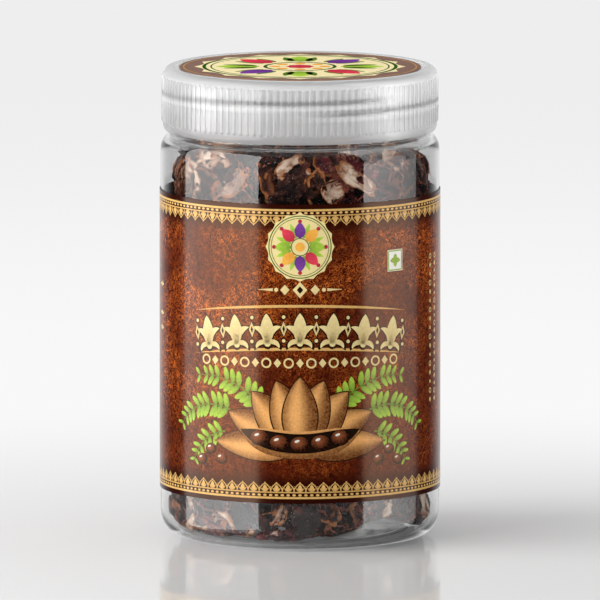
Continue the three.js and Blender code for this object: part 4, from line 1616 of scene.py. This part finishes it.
# rings and beds of torn pieces, fine where they show and coarse where they are hidden, by their
# height, the radius of a bed, and how far its pieces lie apart
pulp = tamarind_pulp()
scatter = np.random.default_rng(5)
for number, height in enumerate((118.5, 126, 133, 140)):
    name, seed = f"tamarind_upper_{number + 1}", 100 + 20 * number
    add_torn(name, seed, *ring_places(scatter, height, 9.5), *FINE)
for number, height in enumerate((118, 127, 135, 141)):
    name, seed = f"tamarind_behind_{number + 1}", 200 + 20 * number
    places, outward = ring_places(scatter, height, 11.5)
    add_torn(name, seed, places - 6.5 * outward, outward, *COARSE)
add_torn("tamarind_mound", 300, *bed_places(scatter, 144, 35, 10.5), *MIDDLING)
for number, height in enumerate((6, 12, 19)):
    name, seed = f"tamarind_lower_{number + 1}", 400 + 20 * number
    add_torn(name, seed, *ring_places(scatter, height, 9.5), *FINE)
add_torn("tamarind_bed", 500, *bed_places(scatter, 8, 37, 10.5), *COARSE)
for number, height in enumerate(range(26, 116, 9)):
    name, seed = f"tamarind_middle_{number + 1}", 600 + 20 * number
    add_torn(name, seed, *ring_places(scatter, height, 13), *HIDDEN)
add_torn("tamarind_neck", 180, *ring_places(scatter, 147, 9.5), *MIDDLING)

# the pieces that show best: angle from the front in degrees, height, depth behind the wall, turn,
# three half lengths, curl, tint, and how much of a pale membrane covers the inner side
CHOSEN = (
    (-3.4, 133.7, 0.8, 42, 9.0, 2.4, 0.7, 0.22, 0.8, 1),
    (25.7, 127.5, 0.6, -35, 11.5, 3.2, 0.8, 0.1, 0.9, 1),
    (14.7, 123.2, 0.6, 20, 4.6, 3.2, 0.8, 0.2, 0.6, 1),
    (5.6, 130.8, 0.8, 60, 2.6, 1.6, 0.6, 0.3, 0.6, 1),
    (10.3, 133.3, 1.5, -60, 3.6, 2.4, 2.0, 0.01, 0.6, 0),
    (-4.3, 125.6, 1.8, 15, 5.0, 4.4, 3.2, 0.01, 0.2, 0),
    (49.7, 131.4, 1.0, 80, 5.5, 3.8, 0.7, 0.1, 0.3, 1),
    (-31.5, 126.0, 0.8, 30, 6.5, 4.4, 0.7, 0.15, 0.75, 0.35),
    (-42.4, 137.2, 1.0, 5, 7.0, 2.4, 0.8, 0.15, 0.95, 1),
    (22.0, 138.2, 1.0, 80, 3.4, 2.0, 0.7, 0.2, 0.8, 1),
    (46.0, 137.0, 1.0, 30, 4.0, 2.0, 0.7, 0.2, 0.95, 1),
    (-35.0, 10.6, 0.8, -25, 5.0, 3.2, 0.7, 0.16, 0.6, 1),
    (-8.6, 11.3, 0.6, 60, 5.5, 2.2, 0.7, 0.34, 0.97, 0.7),
    (2.1, 9.7, 0.6, 85, 7.0, 4.4, 0.9, 0.03, 0.05, 0),
    (-12.0, 4.8, 1.0, 5, 9.5, 3.0, 2.0, 0.02, 0.7, 0),
    (-23.8, 5.2, 0.8, 10, 3.2, 1.6, 0.6, 0.2, 0.6, 1),
    (41.2, 13.5, 0.8, 70, 4.2, 1.8, 0.6, 0.15, 0.9, 1),
)
CHOSEN_GRID = (60, 84)
chosen = np.array(CHOSEN)
degrees, height, depth, turn = chosen[:, :4].T
half = chosen[:, 4:7]
curl, tint, covered = chosen[:, 7:].T
front = np.radians(degrees - 90)
outward = np.stack([np.cos(front), np.sin(front), 0 * front], 1)
places = outward * (wall_radius(height) - depth)[:, None] + (0, 0, 1) * height[:, None]
points, painted_crease_light, rim, inner = torn_pieces(700, places, outward, turn, half, curl, *CHOSEN_GRID)
add_pulp(
    "tamarind_front",
    kept_inside(points, 0.0),
    grid_copies(len(chosen), *CHOSEN_GRID),
    {
        "painted_crease_light": painted_crease_light,
        "rim": rim,
        "tint": tint[:, None, None] + 0 * painted_crease_light,
        "pale": covered[:, None, None] * inner,
    },
)

# the pressed middle of the fill, which closes the view between the pieces
CORE_STEPS = 90
CORE_RADIUS = 33
CORE_LOW, CORE_HIGH = 9, 138
core_rows = chain(
    (0, CORE_LOW),
    arc((20, 20), (CORE_RADIUS - 20, 20 - CORE_LOW), -90, 0, 6),
    line((CORE_RADIUS, 20), (CORE_RADIUS, 130), 40),
    arc((20, 130), (CORE_RADIUS - 20, CORE_HIGH - 130), 0, 90, 6),
    (0, CORE_HIGH),
)
core_grid = turned(core_rows, even_turn(CORE_STEPS))
core_lumps = crease(core_grid, 7, 41)
core_grid[..., :2] *= (1 - 0.12 * (1 - core_lumps))[..., None]
none = 0 * core_lumps
# painted shade in the core's creases
core_values = {"painted_crease_light": 0.7 * core_lumps, "rim": none, "tint": none + 0.1, "pale": none}
core_faces = grid_faces(len(core_rows), CORE_STEPS, False, True)
add_pulp("tamarind_core", core_grid, core_faces, core_values)


def fibres(seed, count, middle, spread, low, high):
    """Fibres near the wall, most of them about the middle angle, in degrees from the front: each is a
    path that wanders in angle, height and depth, with a thin six-sided section that tapers to both
    ends."""
    rng = np.random.default_rng(seed)
    steps, sides = 36, 6
    walk = np.cumsum(rng.normal(0, 1, (count, steps, 3)), 1) * 0.09
    heading = rng.uniform(0, 2 * math.pi, (count, 1)) + walk[..., 0] * 0.8
    length = rng.uniform(7, 20, (count, 1))
    t = np.linspace(0, 1, steps)[None, :]
    height = rng.uniform(low, high, (count, 1)) + length * t * np.sin(heading)
    radius = wall_radius(height) - 1.0
    radius = radius - 2.2 * np.abs(np.sin(3 * t + walk[..., 1]))
    base = np.radians(middle - 90 + spread * rng.normal(0, 1, (count, 1)))
    angle = base + length * t * np.cos(heading) / radius
    path = np.stack([radius * np.cos(angle), radius * np.sin(angle), height], -1)
    way = unit(np.gradient(path, axis=1))
    first = unit(np.cross(way, unit(path * (1, 1, 0))))
    second = np.cross(way, first)
    spin = np.linspace(0, 2 * math.pi, sides, endpoint=False)[:, None]
    taper = np.sqrt(np.clip(1 - (2 * t - 1) ** 4, 0, 1))
    thick = (rng.uniform(0.2, 0.45, (count, 1)) * taper)[..., None, None]
    section = first[:, :, None] * np.cos(spin) + second[:, :, None] * np.sin(spin)
    points = kept_inside(path[:, :, None] + section * thick, 0.0)
    return points, copied_faces(grid_faces(steps, sides, False, True), count, steps * sides)


def fibre_strand():
    """Half-matt fibre, mottled from dark to light red-brown."""
    material, nodes, links, skin = surface_material("fibre_strand")
    place = nodes.new("ShaderNodeTexCoord").outputs["Object"]
    mottle = noise(nodes, links, place, 500, 3)
    links.new(ramp(nodes, links, mottle, FIBRE_REDS), skin.inputs["Base Color"])
    skin.inputs["Roughness"].default_value = 0.4
    return material


strand = fibre_strand()
for name, seed, count, middle, spread, low, high in (
    ("fibres_upper", 31, 60, 90, 70, 116, 140),
    ("fibres_right", 33, 9, 57, 6, 118, 134),
    ("fibres_lower", 32, 50, 120, 80, 5, 18),
    ("fibres_heel", 34, 16, 17, 9, 6, 15),
    ("fibres_left", 35, 8, -53, 5, 8, 16),
):
    fibre_points, fibre_faces = fibres(seed, count, middle, spread, low, high)
    fibre_piece = add_piece(name, fibre_points, fibre_faces, strand, None, PULP_SHARP, outward=True)
    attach(fibre_piece, "jar")
